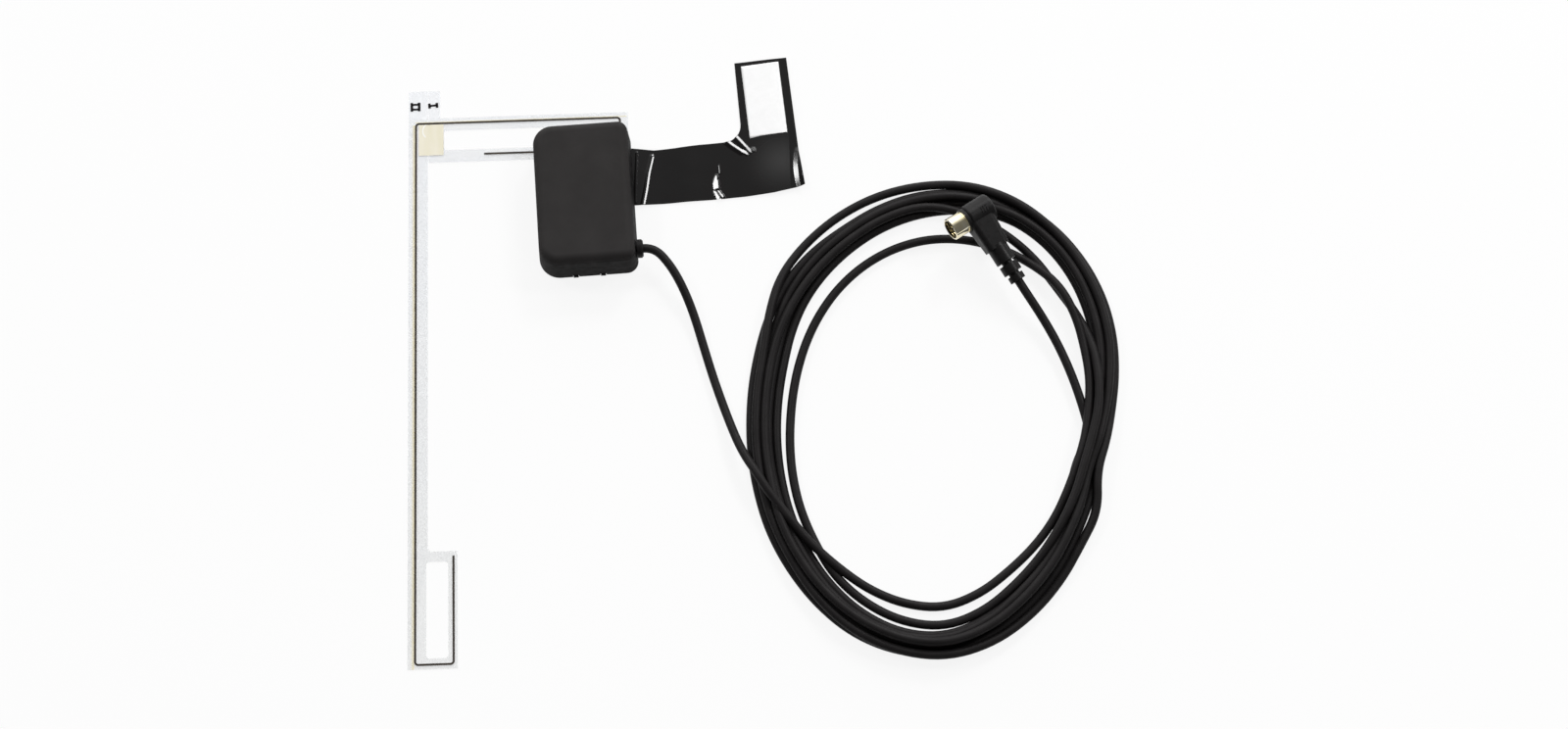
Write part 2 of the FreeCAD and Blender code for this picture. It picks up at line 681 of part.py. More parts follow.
def make_base():
    body = new_body("amp_base")
    sketch = new_sketch(body, "XY_Plane", "pad_thick")
    add_outline(sketch, housing_corners("amp_wall + base_gap"))
    pad(body, sketch, "base_thick")
    sketch = new_sketch(body, "XY_Plane", "pad_thick")
    add_lugs(sketch, "0", "amp_length / 2 - 2 * amp_wall", "amp_length / 2 + lug_proud")
    pad(body, sketch, "lug_height")
    sketch = new_sketch(body, "XY_Plane", BASE_TOP)
    for side in (-1, 1):
        across = f"({side}) * (amp_width / 2 - boss_side)"
        add_circle(sketch, across, "boss_low - amp_length / 2", "boss_radius")
        add_circle(sketch, across, "amp_length / 2 - boss_high", "boss_radius")
    pad(body, sketch, "boss_height")
    sketch = new_sketch(body, "XY_Plane", "pad_thick")
    inner = "amp_width / 2 - sheet_grip - 4 * sheet_slot"
    low = "sheet_low + (sheet_width - tongue_width) / 2 - 4 * sheet_slot"
    high = "sheet_low + (sheet_width + tongue_width) / 2 + 4 * sheet_slot"
    add_outline(sketch, box_corners(inner, low, "amp_width / 2", high))
    pocket(body, sketch, "sheet_thick + sheet_slot")
    sketch = new_sketch(body, "XY_Plane", "pad_thick")
    for label, across, upward, level in contact_spots():
        half = "contact_width / 2 + window_clear"
        left = f"{across} + contact_heel - contact_foot - contact_thick - window_clear"
        right = f"{across} + contact_heel + window_clear"
        add_outline(sketch, box_corners(left, f"{upward} - ({half})", right, f"{upward} + {half}"))
    pocket(body, sketch)
    keep(body, "amp_base", amp_place)


def make_pad():
    body = new_body("amp_pad")
    sketch = new_sketch(body, "XY_Plane")
    left, right = "pad_inset - amp_width / 2", "amp_width / 2 - pad_inset"
    low, high = "pad_inset - amp_length / 2", f"{FRAME_LOW} - pad_clear"
    add_outline(sketch, box_corners(left, low, right, high, "pad_round"))
    pad(body, sketch, "pad_thick")
    keep(body, "amp_pad", amp_place)


def make_board():
    body = new_body("amp_board")
    sketch = new_sketch(body, "XY_Plane", BOARD_LOW)
    add_outline(sketch, housing_corners("amp_wall + board_gap"))
    pad(body, sketch, "board_thick")
    sketch = new_sketch(body, "XY_Plane", BOARD_LOW)
    half = "grommet_lip + notch_clear"
    low, high = f"{CABLE_SIDE} - ({half})", f"{CABLE_SIDE} + {half}"
    add_outline(sketch, box_corners(f"{LIP_IN} - notch_clear", low, "amp_width / 2", high))
    pocket(body, sketch)
    keep(body, "amp_board", amp_place)


def make_group(label, spots, length, width, height):
    """Like blocks on the board's top, one solid each, in one node."""
    blocks = []
    for across, upward in spots:
        block = doc.addObject("Part::Box", f"{label}_block")
        for side, text in (("Length", length), ("Width", width), ("Height", height)):
            block.setExpression(side, cells(text))
        block.setExpression("Placement.Base.x", cells(f"{across} - {length} / 2"))
        block.setExpression("Placement.Base.y", cells(f"{upward} - {width} / 2"))
        block.setExpression("Placement.Base.z", cells(BOARD_TOP))
        blocks.append(block)
    group = doc.addObject("Part::Compound", f"{label}_group")
    group.Links = blocks
    doc.recompute()
    keep(group, label, amp_place)


def make_components():
    make_group("amplifier_chip", [("chip_x", "chip_y")], "chip_side", "chip_side", "chip_height")
    left = "coil_side - amp_width / 2"
    spots = [(f"{left} + {i} * coil_spacing", "coil_row") for i in range(3)]
    make_group("filter_coils", spots, "coil_length", "coil_width", "coil_height")
    left = "capacitor_side - amp_width / 2"
    spots = [(left, f"capacitor_low + {i} * capacitor_spacing") for i in range(5)]
    make_group("chip_capacitors", spots, "capacitor_length", "capacitor_width", "capacitor_width")


def strip_face(points, thick):
    """A face of even thickness along a line of straight runs in the XZ plane."""
    runs = [(b - a).normalize() for a, b in zip(points, points[1:])]
    sides = ([], [])
    for i, point in enumerate(points):
        before = runs[max(i - 1, 0)]
        after = runs[min(i, len(runs) - 1)]
        normals = [Vector(-run.z, 0, run.x) for run in (before, after)]
        mitre = normals[0] + normals[1]
        reach = thick / (1 + normals[0].dot(normals[1]))
        sides[0].append(point + mitre * (reach / 2))
        sides[1].append(point - mitre * (reach / 2))
    loop = sides[0] + sides[1][::-1]
    return Part.Face(Part.makePolygon(loop + loop[:1]))


def make_contacts():
    """Bent springs from the board's underside down to the film's terminals and the ground sheet."""
    thick = size("contact_thick")
    foot = size("contact_foot")
    wide = size("contact_width")
    high = value(BOARD_LOW) - thick / 2
    heel = size("contact_heel")
    bow = high - size("contact_bow")
    for label, across, upward, level in contact_spots():
        low = value(level) + thick / 2
        points = (
            Vector(heel, 0, high),
            Vector(heel - foot + thick, 0, high),
            Vector(heel - foot, 0, (high + bow) / 2),
            Vector(heel - foot + thick, 0, bow),
            Vector(-thick, 0, low),
            Vector(thick, 0, low),
            Vector(heel, 0, low + size("contact_toe")),
        )
        shape = strip_face(points, thick).extrude(Vector(0, wide, 0))
        spot = Placement(Vector(value(across), value(upward) - wide / 2, 0), Rotation())
        solid_feature(label, shape, amp_place.multiply(spot))


# Grommet and the cable's end in the housing
def cable_seat():
    """The cable's axis through the housing's wall: X outwards."""
    return amp_place.multiply(Placement(Vector(0, value(CABLE_SIDE), value(CABLE_LEVEL)), Rotation()))


def make_grommet():
    body = new_body("cable_grommet")
    sketch = new_sketch(body, "XY_Plane")
    bore = "cable_od / 2"
    add_polygon(
        sketch,
        (
            (LIP_IN, bore),
            (FLANGE_OUT, bore),
            (FLANGE_OUT, "grommet_flange - flange_thick / 4"),
            (f"{FLANGE_OUT} - flange_thick / 4", "grommet_flange"),
            (FLANGE_IN, "grommet_flange"),
            (FLANGE_IN, "grommet_neck"),
            (LIP_OUT, "grommet_neck"),
            (LIP_OUT, "grommet_lip"),
            (LIP_IN, "grommet_lip"),
        ),
    )
    revolve(body, sketch, "X_Axis")
    keep(body, "cable_grommet", cable_seat())


def make_cable_end():
    """The cable's end in the grommet and the housing: jacket, insulated core and inner wire."""
    body = new_body("cable_end")
    sketch = new_sketch(body, "XY_Plane")
    jacket = "amp_width / 2 - amp_wall - cable_inside"
    core = f"{jacket} - core_length"
    wire = f"{core} - wire_length"
    add_polygon(
        sketch,
        (
            (FLANGE_OUT, "0"),
            (FLANGE_OUT, "cable_od / 2"),
            (jacket, "cable_od / 2"),
            (jacket, "core_od / 2"),
            (core, "core_od / 2"),
            (core, "wire_od / 2"),
            (wire, "wire_od / 2"),
            (wire, "0"),
        ),
    )
    revolve(body, sketch, "X_Axis")
    keep(body, "cable_end", cable_seat())


def rounded_path(points):
    """Straight runs joined by tangent arcs, each as large as its two runs allow, and the arcs' radii."""
    share = 0.45
    edges = []
    radii = []
    start = points[0]
    for before, point, after in zip(points, points[1:], points[2:]):
        run_in = (point - before).normalize()
        run_out = (after - point).normalize()
        turn = run_in.getAngle(run_out)
        cut = share * min((point - before).Length, (after - point).Length)
        radius = cut / math.tan(turn / 2)
        radii.append(round(radius, 1))
        begin = point - run_in * cut
        stop = point + run_out * cut
        inward = (run_out - run_in).normalize()
        middle = point + inward * (radius / math.cos(turn / 2) - radius)
        edges.append(Part.LineSegment(start, begin).toShape())
        edges.append(Part.Arc(begin, middle, stop).toShape())
        start = stop
    edges.append(Part.LineSegment(start, points[-1]).toShape())
    return Part.Wire(edges), radii


# Ground sheet
def sheet_frame():
    """The sheet's own axes: X along the strip from the housing's wall, Y across from its lower edge."""
    wall = Placement(Vector(size("amp_width") / 2, size("sheet_low"), 0), Rotation())
    turn = Placement(Vector(), Rotation(Vector(0, 0, 1), size("sheet_turn")))
    return amp_place.multiply(wall).multiply(turn)


def sheet_profile(rise):
    """The sheet's underside in the XZ plane, raised: flat in the housing, down to the glass, then waves."""
    reach = size("sheet_reach")
    seat = size("pad_thick")
    exit_run = size("amp_wall") / 2
    down = exit_run + size("sheet_bend")
    knots = (
        (-size("sheet_grip"), seat),
        (exit_run, seat),
        (down, 0.0),
        (size("wave_one_at"), size("wave_one")),
        (size("trough_at"), 0.0),
        (reach - size("wave_two_at"), size("wave_two")),
        (reach - size("curl_run"), size("wave_two") / 2),
        (reach, size("sheet_curl")),
    )
    return rounded_path([Vector(x, 0, z + rise) for x, z in knots])[0]


def sheet_slab(rise, thick, wide, from_low):
    lines = [sheet_profile(rise), sheet_profile(rise + thick)]
    corners = [[line.OrderedVertexes[i].Point for line in lines] for i in (0, -1)]
    ends = [Part.makeLine(*pair) for pair in corners]
    wire = Part.Wire(Part.__sortEdges__(lines[0].Edges + lines[1].Edges + ends))
    slab = Part.Face(wire).extrude(Vector(0, wide, 0))
    slab.translate(Vector(0, from_low, 0))
    return slab


def corner_prism(corners, deep, rounded=None, radius=None):
    """An upright prism of straight sides about the glass, with one of its vertical edges rounded."""
    spots = [Vector(x, y, -deep / 2) for x, y in corners]
    prism = Part.Face(Part.makePolygon(spots + spots[:1])).extrude(Vector(0, 0, deep))
    if radius is None:
        return prism
    middle = Vector(*corners[rounded], 0)
    upright = [edge for edge in prism.Edges if edge.CenterOfMass.distanceToPoint(middle) < 1e-3]
    return prism.makeFillet(radius, upright)


def make_sheet():
    reach = size("sheet_reach")
    wide = size("sheet_width")
    top = wide + size("flag_length")
    thick = size("sheet_thick")
    flag_left = reach - size("flag_width")
    deep = 4 * (size("sheet_curl") + size("amp_height"))
    shoulder = -size("amp_wall") / 2
    tongue_low = (wide - size("tongue_width")) / 2
    tongue_high = (wide + size("tongue_width")) / 2
    outline = (
        (-size("sheet_grip"), tongue_low),
        (shoulder, tongue_low),
        (shoulder, 0),
        (reach, 0),
        (reach, top),
        (flag_left, top),
        (flag_left, wide),
        (shoulder, wide),
        (shoulder, tongue_high),
        (-size("sheet_grip"), tongue_high),
    )
    prism = corner_prism(outline, deep, outline.index((flag_left, wide)), size("flag_round"))
    slab = sheet_slab(0, thick, top + 2, -1)
    solid_feature("ground_sheet", slab.common(prism), sheet_frame())
    left = flag_left + size("label_side")
    right = left + size("label_width")
    high = top - size("label_top")
    low = high - size("label_length")
    label = ((left, low), (right, low), (right, high), (left, high))
    skin = sheet_slab(thick, size("label_thick"), top + 2, -1)
    solid_feature("sheet_label", skin.common(corner_prism(label, deep)), sheet_frame())


# Cable
def make_tube(label, points):
    wire, radii = rounded_path(points)
    spine = doc.addObject("Part::Feature", f"{label}_route")
    spine.Shape = wire
    ring = doc.addObject("Part::Circle", f"{label}_section")
    ring.setExpression("Radius", cells("cable_od / 2"))
    first_run = (points[1] - points[0]).normalize()
    ring.Placement = Placement(points[0], Rotation(Vector(0, 0, 1), first_run))
    tube = doc.addObject("Part::Sweep", f"{label}_tube")
    tube.Sections = [ring]
    tube.Spine = (spine, [f"Edge{i}" for i in range(1, len(wire.Edges) + 1)])
    tube.Solid = True
    doc.recompute()
    section = math.pi * size("cable_od") ** 2 / 4
    share = tube.Shape.Volume / (section * wire.Length)
    print(f"{label}: length {wire.Length:.1f}, volume / (section * length) {share:.4f}, radii {radii}")
    return keep(tube, label)


def make_lead():
    seat = cable_seat()
    mouth = value(FLANGE_OUT)
    entry = [seat.multVec(Vector(x, 0, 0)) for x in (mouth, mouth + size("exit_run"))]
    return make_tube("cable_lead", entry + [Vector(*spot) for spot in LEAD_ROUTE])


def plug_frame():
    """The plug's axes: X out of the barrel's mouth, Y along the moulding to the cable."""
    yaw = Rotation(Vector(0, 0, 1), size("plug_yaw"))
    lift = Rotation(Vector(0, 1, 0), -size("plug_lift"))
    dip = Rotation(Vector(1, 0, 0), -size("plug_dip"))
    spot = Vector(size("plug_x"), size("plug_y"), size("plug_z"))
    return Placement(spot, yaw.multiply(dip).multiply(lift))


RELIEF_END = "waist_at + rib_one + rib_two + rib_three + 2 * rib_gap"


def make_tail():
    place = plug_frame()
    end = value(RELIEF_END)
    start = end - size("plug_bore")
    entry = [place.multVec(Vector(0, y, 0)) for y in (start, end + size("exit_run"))]
    return make_tube("cable_tail", entry + [Vector(*spot) for spot in TAIL_ROUTE])


def tangent_arc(start, heading, stop):
    """The arc that leaves one point along a heading and ends at another."""
    chord = stop - start
    along = Vector(chord).normalize()
    lean = heading.getAngle(along)
    sideways = (heading - along * heading.dot(along)).normalize()
    crown = start + chord * 0.5 + sideways * (chord.Length / 2 * math.tan(lean / 2))
    return Part.Arc(start, crown, stop).toShape()


def coil_outline(side):
    """A closed line of tangent arcs through the coil's stations on one side, two arcs between neighbours."""
    stations = []
    for angle in range(0, 360, 45):
        turn = math.radians(angle)
        stations.append(Vector(math.cos(turn), math.sin(turn), 0) * size(f"{side}_{angle}"))
    count = len(stations)
    headings = [(stations[(i + 1) % count] - stations[i - 1]).normalize() for i in range(count)]
    edges = []
    for i in range(count):
        start, stop = stations[i], stations[(i + 1) % count]
        leave, arrive = headings[i], headings[(i + 1) % count]
        chord = stop - start
        bend = 2 * (1 - leave.dot(arrive))
        pull = chord.dot(leave + arrive)
        reach = (math.sqrt(pull ** 2 + bend * chord.dot(chord)) - pull) / bend
        joint = (start + stop + (leave - arrive) * reach) * 0.5
        edges.append(tangent_arc(start, leave, joint))
        edges.append(tangent_arc(joint, (stop - arrive * reach - joint).normalize(), stop))
    return Part.Wire(edges)


def make_coil(tubes):
    """The coiled turns as one ring of their outer shape, with seats where the cable enters and leaves."""
    face = Part.Face([coil_outline("outer"), coil_outline("inner")])
    face.validate()
    ring = face.extrude(Vector(0, 0, size("coil_deep")))
    rims = [edge for edge in ring.Edges if edge.BoundBox.ZMin > size("coil_edge")]
    ring = ring.makeChamfer(size("coil_edge"), rims)
    ring.translate(Vector(size("coil_x"), size("coil_y"), 0))
    for tube in tubes:
        ring = ring.cut(tube.Shape)
    solids = sorted(ring.Solids, key=lambda solid: solid.Volume)
    solid_feature("cable_coil", solids[-1])


# Right-angle plug, in its own axes
FRONT = "head_front"


def make_plug_body():
    body = new_body("plug_body")
    sketch = new_sketch(body, "YZ_Plane", f"{FRONT} - head_length")
    add_circle(sketch, "0", "0", "head_radius")
    head = pad(body, sketch, "head_length")
    rims = edges_where(head, lambda edge: edge.BoundBox.XLength < 1e-4 and edge.BoundBox.YLength > 1)
    fillet(body, head, rims, "head_round")
    sections = []
    for level, wide, deep in (("0", "neck_width", "neck_deep"), ("-waist_at", "waist_width", "waist_deep")):
        sketch = new_sketch(body, "XZ_Plane", level)
        corners = box_corners(f"-{wide} / 2", f"-{deep} / 2", f"{wide} / 2", f"{deep} / 2", "moulding_round")
        add_outline(sketch, corners)
        sections.append(sketch)
    loft = body.newObject("PartDesign::AdditiveLoft", "loft")
    loft.Profile = sections[0]
    loft.Sections = sections[1:]
    loft.Ruled = True
    finish(loft)
    sketch = new_sketch(body, "XY_Plane")
    root = "waist_at - rib_gap"
    corners = [("0", root), ("rib_one_radius", root)]
    rib_end = "waist_at"
    for rib in ("rib_one", "rib_two", "rib_three"):
        start, rib_end = rib_end, f"{rib_end} + {rib}"
        if rib != "rib_one":
            corners += [("relief_core", start), (f"{rib}_radius", start)]
        corners.append((f"{rib}_radius", rib_end))
        if rib != "rib_three":
            corners.append(("relief_core", rib_end))
        rib_end = f"{rib_end} + rib_gap"
    bore = "cable_od / 2"
    seat = f"{RELIEF_END} - plug_bore"
    corners += [(bore, RELIEF_END), (bore, seat), ("0", seat)]
    add_polygon(sketch, corners)
    revolve(body, sketch, "Y_Axis")
    sketch = new_sketch(body, "YZ_Plane", FRONT)
    add_circle(sketch, "0", "0", "collar_radius")
    pad(body, sketch, "collar_length")
    sketch = new_sketch(body, "XY_Plane", "head_radius - ridge_height")
    for i in (-1, 0, 1):
        middle = f"-ridge_at + ({i}) * ridge_spacing"
        left = f"{middle} - ridge_width / 2"
        right = f"{middle} + ridge_width / 2"
        add_outline(sketch, box_corners(left, "-ridge_length / 2", right, "ridge_length / 2"))
    pad(body, sketch, "2 * ridge_height")
    sketch = new_sketch(body, "YZ_Plane", f"{FRONT} - shell_root")
    add_circle(sketch, "0", "0", "shell_radius")
    pocket(body, sketch, "shell_root + collar_length")
    keep(body, "plug_body", plug_frame())


def make_plug_metal():
    place = plug_frame()
    root = f"{FRONT} - shell_root"
    inner = "shell_radius - shell_wall"
    body = new_body("plug_shell")
    sketch = new_sketch(body, "XY_Plane")
    mouth = f"{FRONT} + shell_reach"
    groove = f"{FRONT} + groove_at"
    add_polygon(
        sketch,
        (
            (root, inner),
            (mouth, inner),
            (mouth, "shell_radius - shell_wall / 3"),
            (f"{mouth} - shell_wall / 3", "shell_radius"),
            (f"{groove} + groove_width", "shell_radius"),
            (f"{groove} + groove_width", "shell_radius - groove_deep"),
            (groove, "shell_radius - groove_deep"),
            (groove, "shell_radius"),
            (root, "shell_radius"),
        ),
    )
    revolve(body, sketch, "X_Axis")
    keep(body, "plug_shell", place)

    body = new_body("plug_insulator")
    sketch = new_sketch(body, "XY_Plane")
    face = f"{root} + insulator_length"
    corners = box_corners(root, "contact_radius", face, inner)
    add_polygon(sketch, corners)
    revolve(body, sketch, "X_Axis")
    keep(body, "plug_insulator", place)

    body = new_body("plug_fingers")
    sketch = new_sketch(body, "XY_Plane")
    tip = f"{FRONT} + finger_reach"
    add_polygon(sketch, box_corners(face, "finger_radius - finger_wall", tip, "finger_radius"))
    revolve(body, sketch, "X_Axis")
    for plane in ("XY_Plane", "XZ_Plane"):
        sketch = new_sketch(body, plane)
        half = "finger_slot / 2"
        add_outline(sketch, box_corners(f"{face} + finger_slot", f"-{half}", f"{tip} + finger_slot", half))
        pocket(body, sketch, "4 * finger_radius", both_ways=True)
    keep(body, "plug_fingers", place)

    body = new_body("plug_contact")
    sketch = new_sketch(body, "XY_Plane")
    tip = f"{FRONT} + contact_reach"
    add_polygon(
        sketch,
        (
            (root, "0"),
            (f"{tip} - socket_deep", "0"),
            (f"{tip} - socket_deep", "contact_bore"),
            (tip, "contact_bore"),
            (tip, "contact_radius - contact_bore / 3"),
            (f"{tip} - contact_bore / 3", "contact_radius"),
            (root, "contact_radius"),
        ),
    )
    revolve(body, sketch, "X_Axis")
    keep(body, "plug_contact", place)


def write_parts():
    doc.recompute()
    for item in doc.Objects:
        if "Invalid" in item.State or "Error" in item.State:
            raise ValueError(f"{item.Name} failed")
    os.makedirs("parts", exist_ok=True)
    for part in parts:
        shape = part.Shape
        if shape.isNull() or not shape.isValid() or not shape.Solids:
            raise ValueError(f"{part.Label} has no sound solid")
        shape.exportStep(f"parts/{part.Label}.step")


make_carrier_film()
make_liner_one()
make_liner_two()
make_corner_tape()
make_elements()
make_cover()
make_base()
make_pad()
make_board()
make_components()
make_contacts()
make_grommet()
make_cable_end()
make_sheet()
make_plug_body()
make_plug_metal()
make_coil([make_lead(), make_tail()])
write_parts()
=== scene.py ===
import bpy
import bmesh
import math
from mathutils import Matrix, Vector


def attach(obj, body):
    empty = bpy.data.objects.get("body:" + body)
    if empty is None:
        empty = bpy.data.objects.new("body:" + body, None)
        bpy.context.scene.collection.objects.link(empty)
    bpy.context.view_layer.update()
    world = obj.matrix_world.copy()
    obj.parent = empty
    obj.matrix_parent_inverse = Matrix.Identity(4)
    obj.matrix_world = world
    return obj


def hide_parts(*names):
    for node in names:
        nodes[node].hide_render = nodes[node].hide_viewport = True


# windscreen antenna: the solids keep their places, and get finishes, a coiled cable and a creased sheet
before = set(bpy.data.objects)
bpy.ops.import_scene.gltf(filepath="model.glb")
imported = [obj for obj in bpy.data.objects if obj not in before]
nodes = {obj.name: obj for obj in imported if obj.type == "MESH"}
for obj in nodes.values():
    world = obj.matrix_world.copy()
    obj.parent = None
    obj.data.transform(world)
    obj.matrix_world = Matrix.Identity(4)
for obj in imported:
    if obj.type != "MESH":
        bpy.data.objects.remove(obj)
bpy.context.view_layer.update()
mm = 0.001
print("frame loaded:", len(nodes), "nodes")


def newPiece(name, data):
    piece = bpy.data.objects.new(name, data)
    bpy.context.collection.objects.link(piece)
    return piece


def meshPiece(name, shape):
    data = bpy.data.meshes.new(name)
    shape.to_mesh(data)
    shape.free()
    return newPiece(name, data)


# camera, as the photograph was taken: nearly straight down, from a little below the coil
cameraView = {
    "aim": (56.97, -51.15, 0.0),  # mm, seen at the middle of the picture
    "elevation": 73.0,
    "turn": -2.0,
    "distance": 857.0,
    "lens": 67.5,
    "sensor": 36.0,
    "nearest": 10.0,  # mm, where its view begins
}


def placeCamera(view):
    data = bpy.data.cameras.new("photoCamera")
    data.lens = view["lens"]
    data.sensor_fit = "HORIZONTAL"
    data.sensor_width = view["sensor"]
    data.clip_start = view["nearest"] * mm
    camera = newPiece("photoCamera", data)
    tilt = Matrix.Rotation(math.radians(90 - view["elevation"]), 4, "X")
    swing = Matrix.Rotation(math.radians(view["turn"]), 4, "Z")
    away = Matrix.Translation((0, 0, view["distance"] * mm))
    camera.matrix_world = Matrix.Translation(Vector(view["aim"]) * mm) @ swing @ tilt @ away
    bpy.context.scene.camera = camera


placeCamera(cameraView)
print("camera placed")


# finishes: each has its own colour and grain, read from Object coordinates
def newFinish(name, colour, roughness, **sockets):
    finish = bpy.data.materials.new(name)
    finish.use_nodes = True
    shader = finish.node_tree.nodes["Principled BSDF"]
    shader.inputs["Base Color"].default_value = (*colour, 1)
    shader.inputs["Roughness"].default_value = roughness
    for socket, value in sockets.items():
        shader.inputs[socket.replace("_", " ")].default_value = value
    return finish


def objectPlace(finish):
    return finish.node_tree.nodes.new("ShaderNodeTexCoord").outputs["Object"]


def objectGrain(finish, scale, detail=3.0, stretch=(1, 1, 1)):
    tree = finish.node_tree
    mapping = tree.nodes.new("ShaderNodeMapping")
    mapping.inputs["Scale"].default_value = stretch
    noise = tree.nodes.new("ShaderNodeTexNoise")
    noise.inputs["Scale"].default_value = scale
    noise.inputs["Detail"].default_value = detail
    tree.links.new(objectPlace(finish), mapping.inputs["Vector"])
    tree.links.new(mapping.outputs["Vector"], noise.inputs["Vector"])
    return noise.outputs["Fac"]


def addBump(finish, heights, strength, distance):
    tree = finish.node_tree
    shader = tree.nodes["Principled BSDF"]
    bump = tree.nodes.new("ShaderNodeBump")
    bump.inputs["Strength"].default_value = strength
    bump.inputs["Distance"].default_value = distance * mm
    if shader.inputs["Normal"].links:
        tree.links.new(shader.inputs["Normal"].links[0].from_socket, bump.inputs["Normal"])
    tree.links.new(heights, bump.inputs["Height"])
    tree.links.new(bump.outputs["Normal"], shader.inputs["Normal"])


def ramp(finish, factor, stops):
    stops = list(stops)
    tree = finish.node_tree
    band = tree.nodes.new("ShaderNodeValToRGB")
    while len(band.color_ramp.elements) < len(stops):
        band.color_ramp.elements.new(0.5)
    for stop, (place, colour) in zip(band.color_ramp.elements, stops):
        stop.position = place
        stop.color = (*colour, 1)
    tree.links.new(factor, band.inputs["Fac"])
    return band.outputs["Color"]


def mottle(finish, scale, dark, pale, detail=3.0, span=(0.3, 0.7)):
    return ramp(finish, objectGrain(finish, scale, detail), zip(span, (dark, pale)))


def drive(finish, output, socket):
    finish.node_tree.links.new(output, finish.node_tree.nodes["Principled BSDF"].inputs[socket])


def grey(level):
    return (level, level, level)


def mathNode(finish, operation, *values):
    tree = finish.node_tree
    step = tree.nodes.new("ShaderNodeMath")
    step.operation = operation
    for socket, value in zip(step.inputs, values):
        if isinstance(value, bpy.types.NodeSocket):
            tree.links.new(value, socket)
        else:
            socket.default_value = value
    return step.outputs[0]


def objectAxes(finish):
    tree = finish.node_tree
    axes = tree.nodes.new("ShaderNodeSeparateXYZ")
    tree.links.new(objectPlace(finish), axes.inputs[0])
    return axes.outputs


def tint(finish, factor, under, over):
    tree = finish.node_tree
    blend = tree.nodes.new("ShaderNodeMixRGB")
    tree.links.new(factor, blend.inputs["Fac"])
    tree.links.new(under, blend.inputs["Color1"])
    blend.inputs["Color2"].default_value = (*over, 1)
    return blend.outputs[0]


def distanceFrom(finish, spot):
    tree = finish.node_tree
    away = tree.nodes.new("ShaderNodeVectorMath")
    away.operation = "DISTANCE"
    away.inputs[1].default_value = Vector(spot) * mm
    tree.links.new(objectPlace(finish), away.inputs[0])
    return away.outputs["Value"]


def dress(finish, *names):
    for name in names:
        slots = nodes[name].data.materials
        slots.clear()
        slots.append(finish)


# cable: out of the grommet, over the coil's turns, round them, and up to the plug
cable = {
    "thick": 2.6,  # mm, like the other lengths here
    "exit": (16.945, -16.105, 6.3),
    "lead": (
        (20.2, -15.97, 6.3),
        (24.7, -21.3, 6.0),
        (28.2, -27.7, 4.3),
        (31.2, -35.7, 2.4),
        (33.9, -46.0, 1.5),
        (36.6, -56.1, 1.4),
        (40.4, -68.3, 2.4),
        (43.9, -78.2, 4.6),
        (48.4, -85.8, 6.2),
    ),
    "tail": (
        (144.6, -76.0, 1.6),
        (143.2, -68.6, 2.2),
        (140.6, -58.7, 2.4),
        (137.2, -49.4, 2.8),
        (133.0, -41.0, 3.9),
        (127.74, -32.79, 6.40),
        (126.07, -30.02, 7.03),
        (123.55, -25.81, 7.99),
    ),
    "middle": (100.0, -68.5),
    # outside of the turns every 22.5 degrees, from +X towards +Y
    "outline": (
        52.2, 59.0, 66.2, 71.8, 72.4, 68.8, 62.4, 55.8,
        54.7, 57.4, 63.0, 70.0, 72.3, 65.2, 56.7, 50.7,
    ),
    "firstStation": 9,
    # strand widths in from the outside at those stations, a row for each turn from the box's end
    "lanes": (
        (0.9, 3.45, 5.2, 5.4, 5.2, 3.6, 2.2),
        (2.3, 3.5, 4.3, 5.9, 6.55, 6.7, 6.05, 4.75, 4.45, 4.2, 3.95, 3.65, 3.3, 3.35, 2.4, 1.5),
        (1.4, 2.6, 4.4, 4.05, 2.6, 3.4, 2.8, 1.6, 1.6, 1.6, 1.4, 1.4, 1.2, 1.6, 1.5, 1.0),
        (0.6, 0.6, 0.5, 0.2, 0.0, 0.1, 0.0, 0.7, 0.6, 0.6, 0.5, 0.1, -0.05, 0.0, 0.0, 0.2),
        (0.0, 0.0, 0.0, 0.3, 1.1, 1.95, 0.8, 0.0, 0.0, 0.0, 0.0, 0.2, 0.6, 1.0, 0.6, 0.3),
        (0.8, 1.0, 1.0, 1.2, 1.8, 2.45, 1.8, 1.2, 1.2, 1.2, 1.3, 0.9, 1.0, 1.5, 1.4, 0.9),
        (1.6, 1.9, 1.6, 1.7, 2.4, 3.0, 2.6, 2.1, 2.1, 2.1, 2.1, 1.7, 1.6, 2.3, 2.0, 1.6),
        (2.0, 2.2, 2.0, 1.85, 3.2, 4.0, 3.6, 2.9, 2.5, 2.4, 2.5, 2.3, 1.95, 2.3, 2.3, 2.2),
    ),
    "nudges": {53.5: 3.0},  # mm out at single places, counted in stations from the box's end
    "pointsPerStation": 2,
    "firstClimb": 0.35,  # strand widths that each turn starts above the next one
    "settleRounds": 160,
    "partingFrom": 0.6,  # share of the rounds after which they only part the strands
    "partingPull": 0.1,
    "drawIn": 0.12,  # share of the way to its lane that a strand goes in a round
    "sink": 0.04,  # strand widths that it comes down in a round
    "sidePush": 0.2,  # sideways share of the push between two strands
    "evenOut": 0.12,  # how far a point's height follows its neighbours
    "curveSteps": (6, 5),  # along each span, and round the jacket
    "jacket": (0.0138, 0.0125, 0.0128),
    "jacketTones": ((0.0115, 0.0104, 0.0107), (0.0161, 0.0146, 0.0149)),
}


# a smooth curve through the row's values
def eased(row, at, ring=False):
    low = math.floor(at)
    part = at - low
    picks = [low + i for i in (-1, 0, 1, 2)]
    a, b, c, d = (row[i % len(row)] if ring else row[min(max(i, 0), len(row) - 1)] for i in picks)
    return b + 0.5 * part * (c - a + part * (2 * a - 5 * b + 4 * c - d + part * (3 * (b - c) + d - a)))


